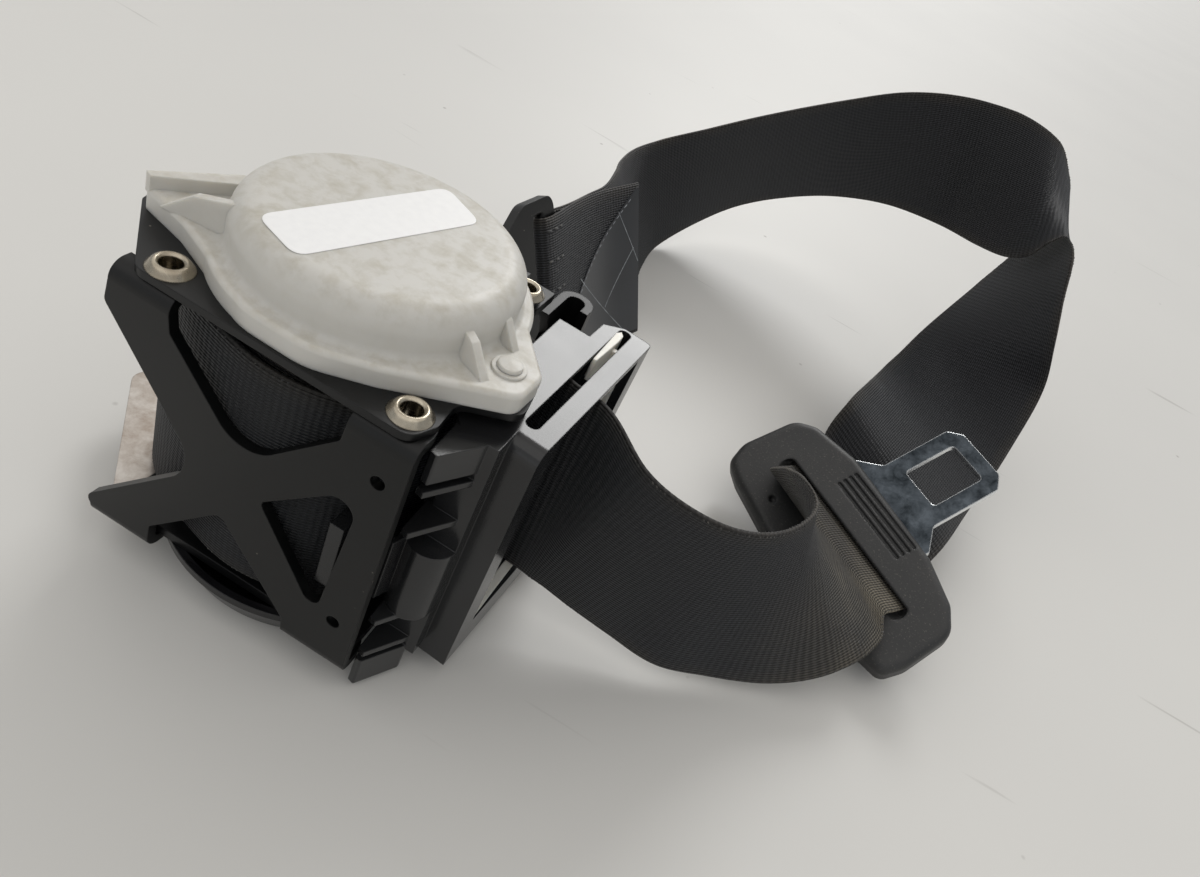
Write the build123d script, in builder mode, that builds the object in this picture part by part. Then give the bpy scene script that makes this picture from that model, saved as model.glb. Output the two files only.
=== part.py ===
import os
from math import atan2, cos, degrees, hypot, pi, radians, sin, sqrt, tan

from build123d import *

# A seat belt taken off its car: the retractor stands on its mechanism cover, the webbing
# leaves it through the guide, carries the tongue, and comes back in a loop to the lower anchor.
# The origin is on the table under the spool axis. +X is the way the webbing leaves,
# +Z is up. All lengths are in millimetres.

os.makedirs("parts", exist_ok=True)

# Webbing
WEB_WIDTH = 47.0
WEB_THICK = 1.2
WEB_BOTTOM = 13.7
WEB_TOP = WEB_BOTTOM + WEB_WIDTH
WEB_MID = WEB_BOTTOM + WEB_WIDTH / 2

# Frame of the retractor
SHEET = 2.0
TOP_SHEET = 1.4
FRONT_Y = -28.0
BEND_R = 3.0
BOTTOM_PLATE_Z = 9.5
FLANGE_Z = WEB_TOP + 1.6
TOP_PLATE_Z = FLANGE_Z + SHEET
TOP_FACE_Z = TOP_PLATE_Z + TOP_SHEET
BEND_TOP_Z = FLANGE_Z + SHEET - BEND_R
BEND_BOTTOM_Z = BOTTOM_PLATE_Z - SHEET + BEND_R
SIDE_HOLE_X = 22.4
SIDE_HOLE_Z = (20.0, WEB_TOP - 5.9)
SIDE_HOLE_R = 1.3
MOUNT_HOLE = (-33.0, 13.0)
MOUNT_HOLE_R = 5.25

# Rivets that hold the plates
FRONT_LEFT_RIVET = (-20.3, -23.7)
FRONT_RIGHT_RIVET = (22.0, -23.2)
BACK_RIGHT_RIVET = (18.3, 21.9)
BACK_LEFT_RIVET = (-18.3, 21.9)
BACK_LOW_X = 20.0
BACK_LOW_Y = 25.0
TOP_RIVETS = (FRONT_LEFT_RIVET, FRONT_RIGHT_RIVET, BACK_RIGHT_RIVET, BACK_LEFT_RIVET)
BOTTOM_RIVETS = (FRONT_LEFT_RIVET, FRONT_RIGHT_RIVET, (BACK_LOW_X, BACK_LOW_Y),
                 (-BACK_LOW_X, BACK_LOW_Y))
RIVET_HEAD_R = 3.7
RIVET_SHANK_R = 2.4
RIVET_BORE_R = 1.75
RIVET_HEAD_H = 1.3
LOW_HEAD_R = 2.2
LOW_SHANK_R = 1.5
LOW_BORE_R = 0.8
LOBE_R = 4.6

# Spool, its shaft and its bearings
RUN_GAP = 0.05
SPOOL_CORE_R = 9.0
ROLL_R = 24.3
SPOOL_FLANGE_R = 23.8
SPOOL_FLANGE_Z = 12.0
SPOOL_FLANGE_T = 1.4
SPOOL_TOP_Z = WEB_TOP + 0.3
JOURNAL_R = 5.0
BUSH_R = 7.6
SHAFT_R = 3.2
SHAFT_WAIST_R = 2.2

# Spring side
COVER_R = 24.0
COVER_FLANGE_R = 27.4
COVER_TOP_Z = TOP_FACE_Z + 11.5
COVER_WALL = 1.7
COVER_EDGE_R = 4.4
EAR_FLOOR_Z = TOP_FACE_Z + 3.7
EAR_RIM_Z = TOP_FACE_Z + 6.0
RIGHT_PIN = (28.5, -6.5)
LEFT_PIN = (-25.5, -12.8)
PIN_R = 1.5
SPRING_BASE_T = 1.0

# Mechanism side
BOWL_BASE_R = 24.5
BOWL_RIM_R = hypot(*FRONT_LEFT_RIVET) - LOW_HEAD_R - 0.7
BOWL_WALL = 1.5
RATCHET_TEETH = 24
RATCHET_TIP_R = 15.2
RATCHET_ROOT_R = 17.0
RATCHET_GAP = 2.9
DISC_TEETH = 36
DISC_R = 12.0
DISC_Z = 5.7
DISC_T = 1.9
PAWL_T = 1.6
PAWL_Z = 9.9
BALL_R = 2.7
SENSOR_R = 17.5
SENSOR_ANGLE = 200.0

# Webbing guide
GUIDE_TOP = WEB_TOP + 1.5
GUIDE_BOTTOM = 1.8
GUIDE_INNER_X = 25.4
GUIDE_LOW_X = 29.6
GUIDE_WALL = 2.0
RIB_T = 1.3

# Tongue, placed by its slot
SLOT_CENTRE = Vector(103.3, 76.1, 17.7)
ACROSS = Vector(0.817, -0.575, -0.055)
TONGUE_UP = Vector(-0.287, -0.487, 0.825)
TONGUE_BODY_T = 8.0
LATCH_T = 2.0
LATCH_DROP = 3.2
SLOT_W = WEB_WIDTH + 3.0
SLOT_T = 3.2
SLOT_TILT = 40.0

# Lower anchor
ANCHOR_T = 2.5
ANCHOR_SLOT_W = WEB_WIDTH + 1.6
ANCHOR_W = ANCHOR_SLOT_W + 8.4
ANCHOR_BOLT_R = 5.75


def save(builder, label):
    """Label a finished piece and write its file."""
    builder.part.label = label
    export_step(builder.part, f"parts/{label}.step")


# Front plate of the frame: an X of arms, bent over at its corners under the top and bottom plates
FRONT_OUTLINE = (
    (26.7, BEND_BOTTOM_Z), (26.7, BEND_TOP_Z), (15.2, BEND_TOP_Z), (14.9, WEB_TOP - 2.5),
    (-0.25, WEB_TOP - 18.2), (-15.8, WEB_TOP - 2.5), (-16.3, BEND_TOP_Z), (-27.4, BEND_TOP_Z),
    (-27.9, WEB_TOP - 3.5), (-7.8, WEB_MID - 2.7), (-30.0, 11.8), (-28.8, BEND_BOTTOM_Z), (-16.0, BEND_BOTTOM_Z), (-15.9, 14.2), (-2.4, 28.2),
    (13.0, 12.8), (13.3, BEND_BOTTOM_Z),
)
FRONT_RADII = (0, 0, 0, 1.2, 7.0, 1.2, 0, 0, 1.6, 7.3, 1.8, 0, 0, 0.8, 1.6, 0.8, 0)
TRIANGLE_WINDOW = ((21.0, WEB_TOP - 8.9), (4.3, WEB_MID - 0.8), (18.7, 18.5))
TRIANGLE_RADII = (3.0, 1.3, 1.8)
TOP_LOBES = ((-27.4, -16.3, FRONT_LEFT_RIVET), (15.2, 26.7, FRONT_RIGHT_RIVET))
BOTTOM_LOBES = ((-28.8, -16.0, FRONT_LEFT_RIVET), (13.3, 26.7, FRONT_RIGHT_RIVET))
BEND_Y = FRONT_Y + BEND_R


def straight_outline(points, radii):
    """An outline in which a radius of 0 leaves the corner sharp."""
    faces = []
    with BuildSketch(mode=Mode.PRIVATE) as sharp:
        with BuildLine():
            Polyline(*points, close=True)
        make_face()
        for point, radius in zip(points, radii):
            if radius > 0:
                corner = sharp.vertices().sort_by_distance(point)[0]
                fillet(corner, radius)
        faces.append(sharp.sketch)
    return faces[0]


with BuildPart() as frame_front_plate:
    with BuildSketch(Plane.XZ.offset(-FRONT_Y)):
        add(straight_outline(FRONT_OUTLINE, FRONT_RADII))
        add(straight_outline(TRIANGLE_WINDOW, TRIANGLE_RADII), mode=Mode.SUBTRACT)
        with Locations(*[(SIDE_HOLE_X, z) for z in SIDE_HOLE_Z]):
            Circle(SIDE_HOLE_R, mode=Mode.SUBTRACT)
    extrude(amount=-SHEET)
    for low_x, high_x, rivet in TOP_LOBES:
        with BuildSketch(Plane.YZ.offset(low_x)):
            with Locations((BEND_Y, BEND_TOP_Z)):
                Circle(BEND_R)
                Circle(BEND_R - SHEET, mode=Mode.SUBTRACT)
            with Locations((BEND_Y - BEND_R, BEND_TOP_Z)):
                Rectangle(BEND_R, BEND_R, align=(Align.MIN, Align.MIN), mode=Mode.INTERSECT)
        extrude(amount=high_x - low_x)
        with BuildSketch(Plane.XY.offset(FLANGE_Z)):
            with Locations(((low_x + high_x) / 2, BEND_Y)):
                Rectangle(high_x - low_x, rivet[1] - BEND_Y, align=(Align.CENTER, Align.MIN))
            with Locations(rivet):
                Circle(LOBE_R)
            with Locations(((low_x + high_x) / 2, BEND_Y)):
                Rectangle(high_x - low_x, 2 * LOBE_R, align=(Align.CENTER, Align.MIN),
                          mode=Mode.INTERSECT)
        extrude(amount=SHEET)
    for low_x, high_x, rivet in BOTTOM_LOBES:
        with BuildSketch(Plane.YZ.offset(low_x)):
            with Locations((BEND_Y, BEND_BOTTOM_Z)):
                Circle(BEND_R)
                Circle(BEND_R - SHEET, mode=Mode.SUBTRACT)
            with Locations((BEND_Y - BEND_R, BEND_BOTTOM_Z)):
                Rectangle(BEND_R, BEND_R, align=(Align.MIN, Align.MAX), mode=Mode.INTERSECT)
        extrude(amount=high_x - low_x)
        with BuildSketch(Plane.XY.offset(BOTTOM_PLATE_Z - SHEET)):
            with Locations(((low_x + high_x) / 2, BEND_Y)):
                Rectangle(high_x - low_x, rivet[1] - BEND_Y, align=(Align.CENTER, Align.MIN))
            with Locations(rivet):
                Circle(LOBE_R)
            with Locations(((low_x + high_x) / 2, BEND_Y)):
                Rectangle(high_x - low_x, 2 * LOBE_R, align=(Align.CENTER, Align.MIN),
                          mode=Mode.INTERSECT)
            Circle(BOWL_RIM_R + 0.4, mode=Mode.SUBTRACT)
        extrude(amount=SHEET)
    for level, radius in ((BOTTOM_PLATE_Z - SHEET, LOW_SHANK_R), (BEND_TOP_Z, RIVET_SHANK_R)):
        with BuildSketch(Plane.XY.offset(level)):
            with Locations(FRONT_LEFT_RIVET, FRONT_RIGHT_RIVET):
                Circle(radius)
        extrude(amount=BEND_R, mode=Mode.SUBTRACT)
save(frame_front_plate, "frame_front_plate")

# Top plate: lobes at the front rivets and under the cover's two ears
TOP_OUTLINE = (
    (-23.4, -27.4), (24.6, -27.6), (26.4, -22.5), (25.6, -15.6), (34.6, -10.4), (33.2, -2.6),
    (21.2, 9.0), (21.2, 26.2), (-21.0, 26.2), (-21.0, 8.0), (-36.4, -9.6), (-35.6, -13.2),
)
TOP_RADII = (3.0, 3.0, 2.2, 3.5, 3.0, 3.0, 4.0, 2.6, 3.0, 4.0, 1.6, 1.6)
with BuildPart() as frame_top_plate:
    with BuildSketch(Plane.XY.offset(TOP_PLATE_Z)):
        add(straight_outline(TOP_OUTLINE, TOP_RADII))
        Circle(BUSH_R, mode=Mode.SUBTRACT)
        with Locations(*TOP_RIVETS):
            Circle(RIVET_SHANK_R, mode=Mode.SUBTRACT)
        with Locations(RIGHT_PIN, LEFT_PIN):
            Circle(PIN_R, mode=Mode.SUBTRACT)
    extrude(amount=TOP_SHEET)
save(frame_top_plate, "frame_top_plate")

REAR_Y = 28.8

# Bottom plate: the ratchet's ring of teeth is stamped in it, its long left lobe takes the bolt
BOTTOM_OUTLINE = (
    (-27.0, BEND_Y), (25.8, BEND_Y), (25.8, -15.0), (28.8, -12.0), (28.8, 8.0), (24.0, 14.0), (24.0, REAR_Y),
    (-24.0, REAR_Y), (-30.0, 24.0), (-46.0, 8.5), (-48.2, 1.6),
)
BOTTOM_RADII = (2.0, 2.0, 1.0, 2.0, 3.0, 3.0, 2.6, 3.0, 4.0, 4.0, 3.4)
PAWL_SWING = 10.5
PAWL_PIVOT = (8.0, -8.5)
PAWL_TIP = (14.4, 0.0)


def turned(point, centre, angle):
    """The point after a turn about the centre, counter-clockwise, in degrees."""
    dx, dy = point[0] - centre[0], point[1] - centre[1]
    c, s = cos(radians(angle)), sin(radians(angle))
    return (centre[0] + dx * c - dy * s, centre[1] + dx * s + dy * c)


ENGAGED_TIP = turned(PAWL_TIP, PAWL_PIVOT, -PAWL_SWING)
TOOTH_GAP_ANGLE = degrees(atan2(ENGAGED_TIP[1], ENGAGED_TIP[0]))
with BuildPart() as frame_bottom_plate:
    with BuildSketch(Plane.XY.offset(BOTTOM_PLATE_Z)):
        add(straight_outline(BOTTOM_OUTLINE, BOTTOM_RADII))
        Circle(RATCHET_TIP_R, mode=Mode.SUBTRACT)
        with PolarLocations(RATCHET_ROOT_R - 1.5, RATCHET_TEETH, start_angle=TOOTH_GAP_ANGLE):
            Rectangle(3.0, RATCHET_GAP, mode=Mode.SUBTRACT)
        with Locations(*BOTTOM_RIVETS):
            Circle(LOW_SHANK_R, mode=Mode.SUBTRACT)
        with Locations(MOUNT_HOLE):
            Circle(MOUNT_HOLE_R, mode=Mode.SUBTRACT)
    extrude(amount=SHEET)
save(frame_bottom_plate, "frame_bottom_plate")

# Rear plate: a web with lobes at the back rivets, whose right end turns back and curls
# towards the guide's rear edge
REAR_WALL = 1.8
REAR_RIGHT = 15.5
REAR_LEFT = -22.0
HOOK_X = 20.6
HOOK_TOP = WEB_TOP - 1.0
HOOK_FRONT_Y = 28.4
HOOK_LOW_Z = WEB_TOP - 13.7
HOOK_END_Y = 37.9
HOOK_BEND_R = 2.0
CURL_R = 3.7
LOW_FLANGE_Z = BOTTOM_PLATE_Z + SHEET
LOW_WALL_Z = BOTTOM_PLATE_Z - SHEET
WEB_RIGHT = HOOK_X - HOOK_BEND_R
BACK_LOBE_R = 3.6
with BuildPart() as frame_rear_plate:
    # Web with a large window
    with BuildSketch(Plane.XZ.offset(-REAR_Y)):
        with BuildLine():
            Polyline((REAR_LEFT, LOW_WALL_Z), (WEB_RIGHT, LOW_WALL_Z), (WEB_RIGHT, HOOK_LOW_Z),
                     (REAR_RIGHT, HOOK_LOW_Z + 3), (REAR_RIGHT, TOP_PLATE_Z),
                     (REAR_LEFT, TOP_PLATE_Z), close=True)
        make_face()
        with Locations((-3.0, WEB_MID + 0.8)):
            RectangleRounded(26.0, WEB_WIDTH - 13.0, 5.0, mode=Mode.SUBTRACT)
    extrude(amount=-REAR_WALL)
    # Lobes under the top plate and under the bottom plate
    for level, rivets, hole, clear in ((FLANGE_Z, TOP_RIVETS[2:], RIVET_SHANK_R, BUSH_R + 2.4),
                                       (LOW_WALL_Z, BOTTOM_RIVETS[2:], LOW_SHANK_R,
                                        BOWL_RIM_R + 0.4)):
        with BuildSketch(Plane.XY.offset(level)):
            for rivet in rivets:
                with Locations(rivet):
                    Circle(BACK_LOBE_R)
                    Rectangle(2 * BACK_LOBE_R, REAR_Y - rivet[1], align=(Align.CENTER, Align.MIN))
            with Locations(*rivets):
                Circle(hole, mode=Mode.SUBTRACT)
            Circle(clear, mode=Mode.SUBTRACT)
        extrude(amount=SHEET)
    # Corner towards the hook
    with BuildSketch(Plane.XY.offset(LOW_WALL_Z)):
        with Locations((WEB_RIGHT, REAR_Y + HOOK_BEND_R + REAR_WALL)):
            Circle(HOOK_BEND_R + REAR_WALL)
            Circle(HOOK_BEND_R, mode=Mode.SUBTRACT)
            Rectangle(HOOK_BEND_R + REAR_WALL, HOOK_BEND_R + REAR_WALL,
                      align=(Align.MIN, Align.MAX), mode=Mode.INTERSECT)
    extrude(amount=HOOK_LOW_Z - LOW_WALL_Z)
    # Hook wall, cut back below its top front corner
    with BuildSketch(Plane.YZ.offset(HOOK_X)):
        with BuildLine():
            Polyline((HOOK_FRONT_Y, HOOK_TOP), (HOOK_END_Y, HOOK_TOP), (HOOK_END_Y, LOW_WALL_Z),
                     (REAR_Y + HOOK_BEND_R + REAR_WALL, LOW_WALL_Z),
                     (REAR_Y + HOOK_BEND_R + REAR_WALL, HOOK_LOW_Z), (33.6, 51.7), close=True)
        make_face()
    extrude(amount=REAR_WALL)
    # Curled edge
    with BuildSketch(Plane.XY.offset(LOW_WALL_Z)):
        with Locations((HOOK_X + CURL_R, HOOK_END_Y)):
            Circle(CURL_R)
            Circle(CURL_R - REAR_WALL, mode=Mode.SUBTRACT)
            Rectangle(2 * CURL_R, CURL_R, align=(Align.CENTER, Align.MIN), mode=Mode.INTERSECT)
        with Locations((HOOK_X + 2 * CURL_R - REAR_WALL, HOOK_END_Y)):
            Rectangle(REAR_WALL, 2.2, align=(Align.MIN, Align.MAX))
    extrude(amount=HOOK_TOP - LOW_WALL_Z)
save(frame_rear_plate, "frame_rear_plate")


def rivet_set(places, grip_low, grip_high, head_r, shank_r, bore_r):
    """Hollow rivets with a domed ring head above and a rolled edge below."""
    with BuildPart() as rivets:
        for x, y in places:
            plane = Plane(origin=(x, y, 0), x_dir=(1, 0, 0), z_dir=(0, -1, 0))
            with BuildSketch(plane):
                with BuildLine():
                    head = Spline((bore_r, grip_high + RIVET_HEAD_H - 0.35),
                                  (bore_r + (head_r - bore_r) * 0.38, grip_high + RIVET_HEAD_H),
                                  (head_r - (head_r - bore_r) * 0.3, grip_high + 0.75),
                                  (head_r, grip_high))
                    Polyline(head @ 1, (shank_r, grip_high), (shank_r, grip_low),
                             (bore_r, grip_low - 0.5), head @ 0)
                make_face()
            revolve(axis=Axis((x, y, 0), (0, 0, 1)))
    return rivets


top_rivets = rivet_set(TOP_RIVETS, FLANGE_Z, TOP_FACE_Z, RIVET_HEAD_R, RIVET_SHANK_R, RIVET_BORE_R)
save(top_rivets, "top_rivets")
bottom_rivets = rivet_set(BOTTOM_RIVETS, BOTTOM_PLATE_Z - SHEET, LOW_FLANGE_Z, LOW_HEAD_R,
                          LOW_SHANK_R, LOW_BORE_R)
save(bottom_rivets, "bottom_rivets")

# Spool: a drum with two flanges and a journal that runs in the top bush
with BuildPart() as spool:
    with BuildSketch(Plane.XZ):
        with BuildLine():
            Polyline((SHAFT_R, SPOOL_FLANGE_Z), (SPOOL_FLANGE_R, SPOOL_FLANGE_Z),
                     (SPOOL_FLANGE_R, SPOOL_FLANGE_Z + SPOOL_FLANGE_T),
                     (SPOOL_CORE_R, SPOOL_FLANGE_Z + SPOOL_FLANGE_T),
                     (SPOOL_CORE_R, SPOOL_TOP_Z), (SPOOL_FLANGE_R, SPOOL_TOP_Z),
                     (SPOOL_FLANGE_R, SPOOL_TOP_Z + 1.1), (JOURNAL_R, SPOOL_TOP_Z + 1.1),
                     (JOURNAL_R, TOP_FACE_Z), (SHAFT_R, TOP_FACE_Z), close=True)
        make_face()
    revolve(axis=Axis.Z)
    # Pocket for the pawl's pin
    with BuildSketch(Plane.XY.offset(SPOOL_FLANGE_Z)):
        with Locations(PAWL_PIVOT):
            Circle(1.1)
    extrude(amount=SPOOL_FLANGE_T, mode=Mode.SUBTRACT)
save(spool, "spool")

with BuildPart() as webbing_roll:
    with BuildSketch(Plane.XY.offset(WEB_BOTTOM)):
        Circle(ROLL_R)
        Circle(SPOOL_CORE_R, mode=Mode.SUBTRACT)
    extrude(amount=WEB_WIDTH)
save(webbing_roll, "webbing_roll")

SHAFT_LOW = 2.6
ARBOR_TOP = COVER_TOP_Z - COVER_WALL - 0.6
with BuildPart() as torsion_bar:
    with BuildSketch(Plane.XZ):
        with BuildLine():
            Polyline((0, SHAFT_LOW), (SHAFT_R - 0.4, SHAFT_LOW), (SHAFT_R, SHAFT_LOW + 0.4),
                     (SHAFT_R, 20.0), (SHAFT_WAIST_R, 22.0), (SHAFT_WAIST_R, SPOOL_TOP_Z - 8.0),
                     (SHAFT_R, SPOOL_TOP_Z - 6.0), (SHAFT_R, TOP_FACE_Z), (2.4, TOP_FACE_Z),
                     (2.4, ARBOR_TOP), (0, ARBOR_TOP), close=True)
        make_face()
    revolve(axis=Axis.Z)
save(torsion_bar, "torsion_bar")

with BuildPart() as spool_bush_top:
    with BuildSketch(Plane.XY.offset(FLANGE_Z + 0.3)):
        Circle(BUSH_R + 1.8)
        Circle(JOURNAL_R + RUN_GAP, mode=Mode.SUBTRACT)
    extrude(amount=TOP_PLATE_Z - FLANGE_Z - 0.3)
    with BuildSketch(Plane.XY.offset(TOP_PLATE_Z)):
        Circle(BUSH_R)
        Circle(JOURNAL_R + RUN_GAP, mode=Mode.SUBTRACT)
    extrude(amount=TOP_SHEET)
save(spool_bush_top, "spool_bush_top")

# Mechanism cover: a bowl whose boss holds the lower bush
BOSS_R = 5.2
BOSS_TOP = 5.2
with BuildPart() as mechanism_cover:
    with BuildSketch(Plane.XZ):
        with BuildLine():
            Polyline((0, 0), (BOWL_BASE_R - 1.0, 0), (BOWL_BASE_R, 1.0), (BOWL_RIM_R - 0.8, 7.4),
                     (BOWL_RIM_R, 8.0), (BOWL_RIM_R, BOTTOM_PLATE_Z),
                     (BOWL_RIM_R - BOWL_WALL, BOTTOM_PLATE_Z), (BOWL_RIM_R - BOWL_WALL - 0.8, 7.6),
                     (BOWL_BASE_R - BOWL_WALL, BOWL_WALL + 0.6),
                     (BOWL_BASE_R - BOWL_WALL - 0.8, BOWL_WALL),
                     (BOSS_R, BOWL_WALL), (BOSS_R, BOSS_TOP), (SHAFT_R + 1.0, BOSS_TOP),
                     (SHAFT_R + 1.0, BOWL_WALL), (0, BOWL_WALL), close=True)
        make_face()
    revolve(axis=Axis.Z)
save(mechanism_cover, "mechanism_cover")

with BuildPart() as spool_bush_bottom:
    with BuildSketch(Plane.XY.offset(BOWL_WALL)):
        Circle(SHAFT_R + 1.0)
    extrude(amount=BOSS_TOP - BOWL_WALL)
    with BuildSketch(Plane.XY.offset(SHAFT_LOW - 0.3)):
        Circle(SHAFT_R + RUN_GAP)
    extrude(amount=BOSS_TOP, mode=Mode.SUBTRACT)
save(spool_bush_bottom, "spool_bush_bottom")

# Disc that lags behind a spool that speeds up: teeth on its rim, a slot that drives the pawl
LAG = 360.0 / DISC_TEETH
PAWL_PEG_OFFSET = 4.2
PEG_R = 0.7
PEG_DIR = ((PAWL_TIP[0] - PAWL_PIVOT[0]), (PAWL_TIP[1] - PAWL_PIVOT[1]))
PEG_LEN = sqrt(PEG_DIR[0] ** 2 + PEG_DIR[1] ** 2)
PEG = (PAWL_PIVOT[0] + PEG_DIR[0] / PEG_LEN * PAWL_PEG_OFFSET,
       PAWL_PIVOT[1] + PEG_DIR[1] / PEG_LEN * PAWL_PEG_OFFSET)
PEG_OUT = turned(PEG, PAWL_PIVOT, -PAWL_SWING)
with BuildPart() as inertia_disc:
    with BuildSketch(Plane.XY.offset(DISC_Z)):
        Circle(DISC_R)
        with PolarLocations(DISC_R, DISC_TEETH, start_angle=SENSOR_ANGLE):
            Rectangle(2.4, 1.25, mode=Mode.SUBTRACT)
        Circle(SHAFT_R + RUN_GAP, mode=Mode.SUBTRACT)
    extrude(amount=DISC_T)
    with BuildSketch(Plane.XY.offset(DISC_Z + DISC_T)):
        Circle(5.6)
        Circle(SHAFT_R + RUN_GAP, mode=Mode.SUBTRACT)
    extrude(amount=PAWL_Z - 0.5 - DISC_Z - DISC_T)
    # Slot that the pawl's peg moves in while the disc lags
    with BuildSketch(Plane.XY.offset(DISC_Z + DISC_T - 0.9)):
        with Locations(PEG, turned(PEG_OUT, (0, 0), -LAG), turned(PEG, (0, 0), -LAG / 2)):
            Circle(PEG_R + 0.95)
    extrude(amount=0.9, mode=Mode.SUBTRACT)
save(inertia_disc, "inertia_disc")

# Pawl on the spool's lower flange, its tip swings out into the ring of teeth
with BuildPart() as lock_pawl:
    with BuildSketch(Plane.XY.offset(PAWL_Z)):
        with BuildLine():
            FilletPolyline((5.6, -9.6), (9.2, -11.2), (12.2, -7.4), (12.9, -2.0), (14.6, -0.4),
                           (14.0, 0.6), (10.6, -1.8), (7.4, -5.6),
                           radius=(1.4, 1.4, 1.2, 0.6, 0.15, 0.15, 1.0, 1.0), close=True)
        make_face()
        with Locations(PAWL_PIVOT):
            Circle(1.1 + RUN_GAP, mode=Mode.SUBTRACT)
    extrude(amount=PAWL_T)
    with BuildSketch(Plane.XY.offset(DISC_Z + DISC_T - 0.6)):
        with Locations(PEG):
            Circle(PEG_R)
    extrude(amount=PAWL_Z - DISC_Z - DISC_T + 0.6)
save(lock_pawl, "lock_pawl")

with BuildPart() as pawl_pin:
    with BuildSketch(Plane.XY.offset(PAWL_Z - 1.0)):
        with Locations(PAWL_PIVOT):
            Circle(2.0)
    extrude(amount=0.9)
    with BuildSketch(Plane.XY.offset(PAWL_Z - 0.1)):
        with Locations(PAWL_PIVOT):
            Circle(1.1)
    extrude(amount=SPOOL_FLANGE_Z + SPOOL_FLANGE_T - PAWL_Z + 0.1)
save(pawl_pin, "pawl_pin")

# Vehicle sensor: a ball in a cup, and a lever over it that reaches the disc's teeth
SENSOR_PLANE = Plane(origin=(SENSOR_R * cos(radians(SENSOR_ANGLE)),
                             SENSOR_R * sin(radians(SENSOR_ANGLE)), BOWL_WALL),
                     x_dir=(cos(radians(SENSOR_ANGLE)), sin(radians(SENSOR_ANGLE)), 0),
                     z_dir=(0, 0, 1))
CUP_FLOOR = 0.5
BALL_Z = CUP_FLOOR + BALL_R + 0.05
LEVER_Z = BALL_Z + BALL_R + 0.25
PIVOT_OUT = 4.3
with BuildPart() as sensor_housing:
    with BuildSketch(SENSOR_PLANE):
        Circle(BALL_R + 1.0)
        with Locations((PIVOT_OUT - 1.2, 0)):
            Rectangle(2.0, 5.0)
    extrude(amount=1.4)
    with BuildSketch(SENSOR_PLANE.offset(CUP_FLOOR)):
        Circle(BALL_R + 0.35)
    extrude(amount=4.0, mode=Mode.SUBTRACT)
    # Two posts that carry the lever's pin
    with BuildSketch(SENSOR_PLANE):
        with Locations((PIVOT_OUT - 0.6, -2.1), (PIVOT_OUT - 0.6, 2.1)):
            Rectangle(1.8, 0.8)
    extrude(amount=LEVER_Z + 1.0)
    with BuildSketch(Plane(origin=SENSOR_PLANE.from_local_coords((PIVOT_OUT - 0.6, 0, LEVER_Z + 0.35)),
                           x_dir=SENSOR_PLANE.x_dir, z_dir=SENSOR_PLANE.y_dir)):
        Circle(0.35)
    extrude(amount=2.1, both=True)
save(sensor_housing, "sensor_housing")

with BuildPart() as sensor_ball:
    with Locations(SENSOR_PLANE.from_local_coords((0, 0, BALL_Z))):
        Sphere(BALL_R)
save(sensor_ball, "sensor_ball")

LEVER_REACH = SENSOR_R - DISC_R - 0.55
LEVER_TOE_Z = DISC_Z - BOWL_WALL - 1.3
with BuildPart() as sensor_lever:
    with BuildSketch(SENSOR_PLANE.offset(LEVER_Z)):
        with BuildLine():
            Polyline((PIVOT_OUT + 0.1, -1.5), (PIVOT_OUT + 0.1, 1.5), (-2.0, 1.5),
                     (-LEVER_REACH, 0.4), (-LEVER_REACH, -0.4), (-2.0, -1.5), close=True)
        make_face()
    extrude(amount=0.7)
    with BuildSketch(SENSOR_PLANE.offset(LEVER_TOE_Z)):
        with Locations((-LEVER_REACH, 0)):
            Rectangle(0.8, 0.8, align=(Align.MIN, Align.CENTER))
    extrude(amount=LEVER_Z - LEVER_TOE_Z)
    with BuildSketch(SENSOR_PLANE.offset(LEVER_TOE_Z)):
        with Locations((-LEVER_REACH + 0.8, 0)):
            Rectangle(2.0, 0.8, align=(Align.MAX, Align.CENTER))
    extrude(amount=0.7)
    with BuildSketch(Plane(origin=SENSOR_PLANE.from_local_coords((PIVOT_OUT - 0.6, 0, LEVER_Z + 0.35)),
                           x_dir=SENSOR_PLANE.x_dir, z_dir=SENSOR_PLANE.y_dir)):
        Circle(0.75)
    extrude(amount=1.5, both=True)
    with BuildSketch(Plane(origin=SENSOR_PLANE.from_local_coords((PIVOT_OUT - 0.6, 0, LEVER_Z + 0.35)),
                           x_dir=SENSOR_PLANE.x_dir, z_dir=SENSOR_PLANE.y_dir)):
        Circle(0.35 + RUN_GAP)
    extrude(amount=1.6, both=True, mode=Mode.SUBTRACT)
save(sensor_lever, "sensor_lever")

# Spring side: base disc, spiral spring, arbor
with BuildPart() as spring_base:
    with BuildSketch(Plane.XY.offset(TOP_FACE_Z)):
        Circle(COVER_R - COVER_WALL - 0.1)
        Circle(JOURNAL_R + 0.6, mode=Mode.SUBTRACT)
    extrude(amount=SPRING_BASE_T)
save(spring_base, "spring_base")

ARBOR_R = 4.6
with BuildPart() as spring_arbor:
    with BuildSketch(Plane.XY.offset(TOP_FACE_Z)):
        Circle(ARBOR_R)
        Circle(2.4, mode=Mode.SUBTRACT)
    extrude(amount=ARBOR_TOP - TOP_FACE_Z)
save(spring_arbor, "spring_arbor")

SPRING_TURNS = 6
SPRING_THICK = 0.35
SPRING_INNER_R = ARBOR_R + 0.6
SPRING_OUTER_R = COVER_R - COVER_WALL - 0.9
SPRING_LOW = TOP_FACE_Z + SPRING_BASE_T + 0.4
SPRING_HIGH = COVER_TOP_Z - COVER_WALL - 0.7
POINTS_PER_TURN = 10


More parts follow.
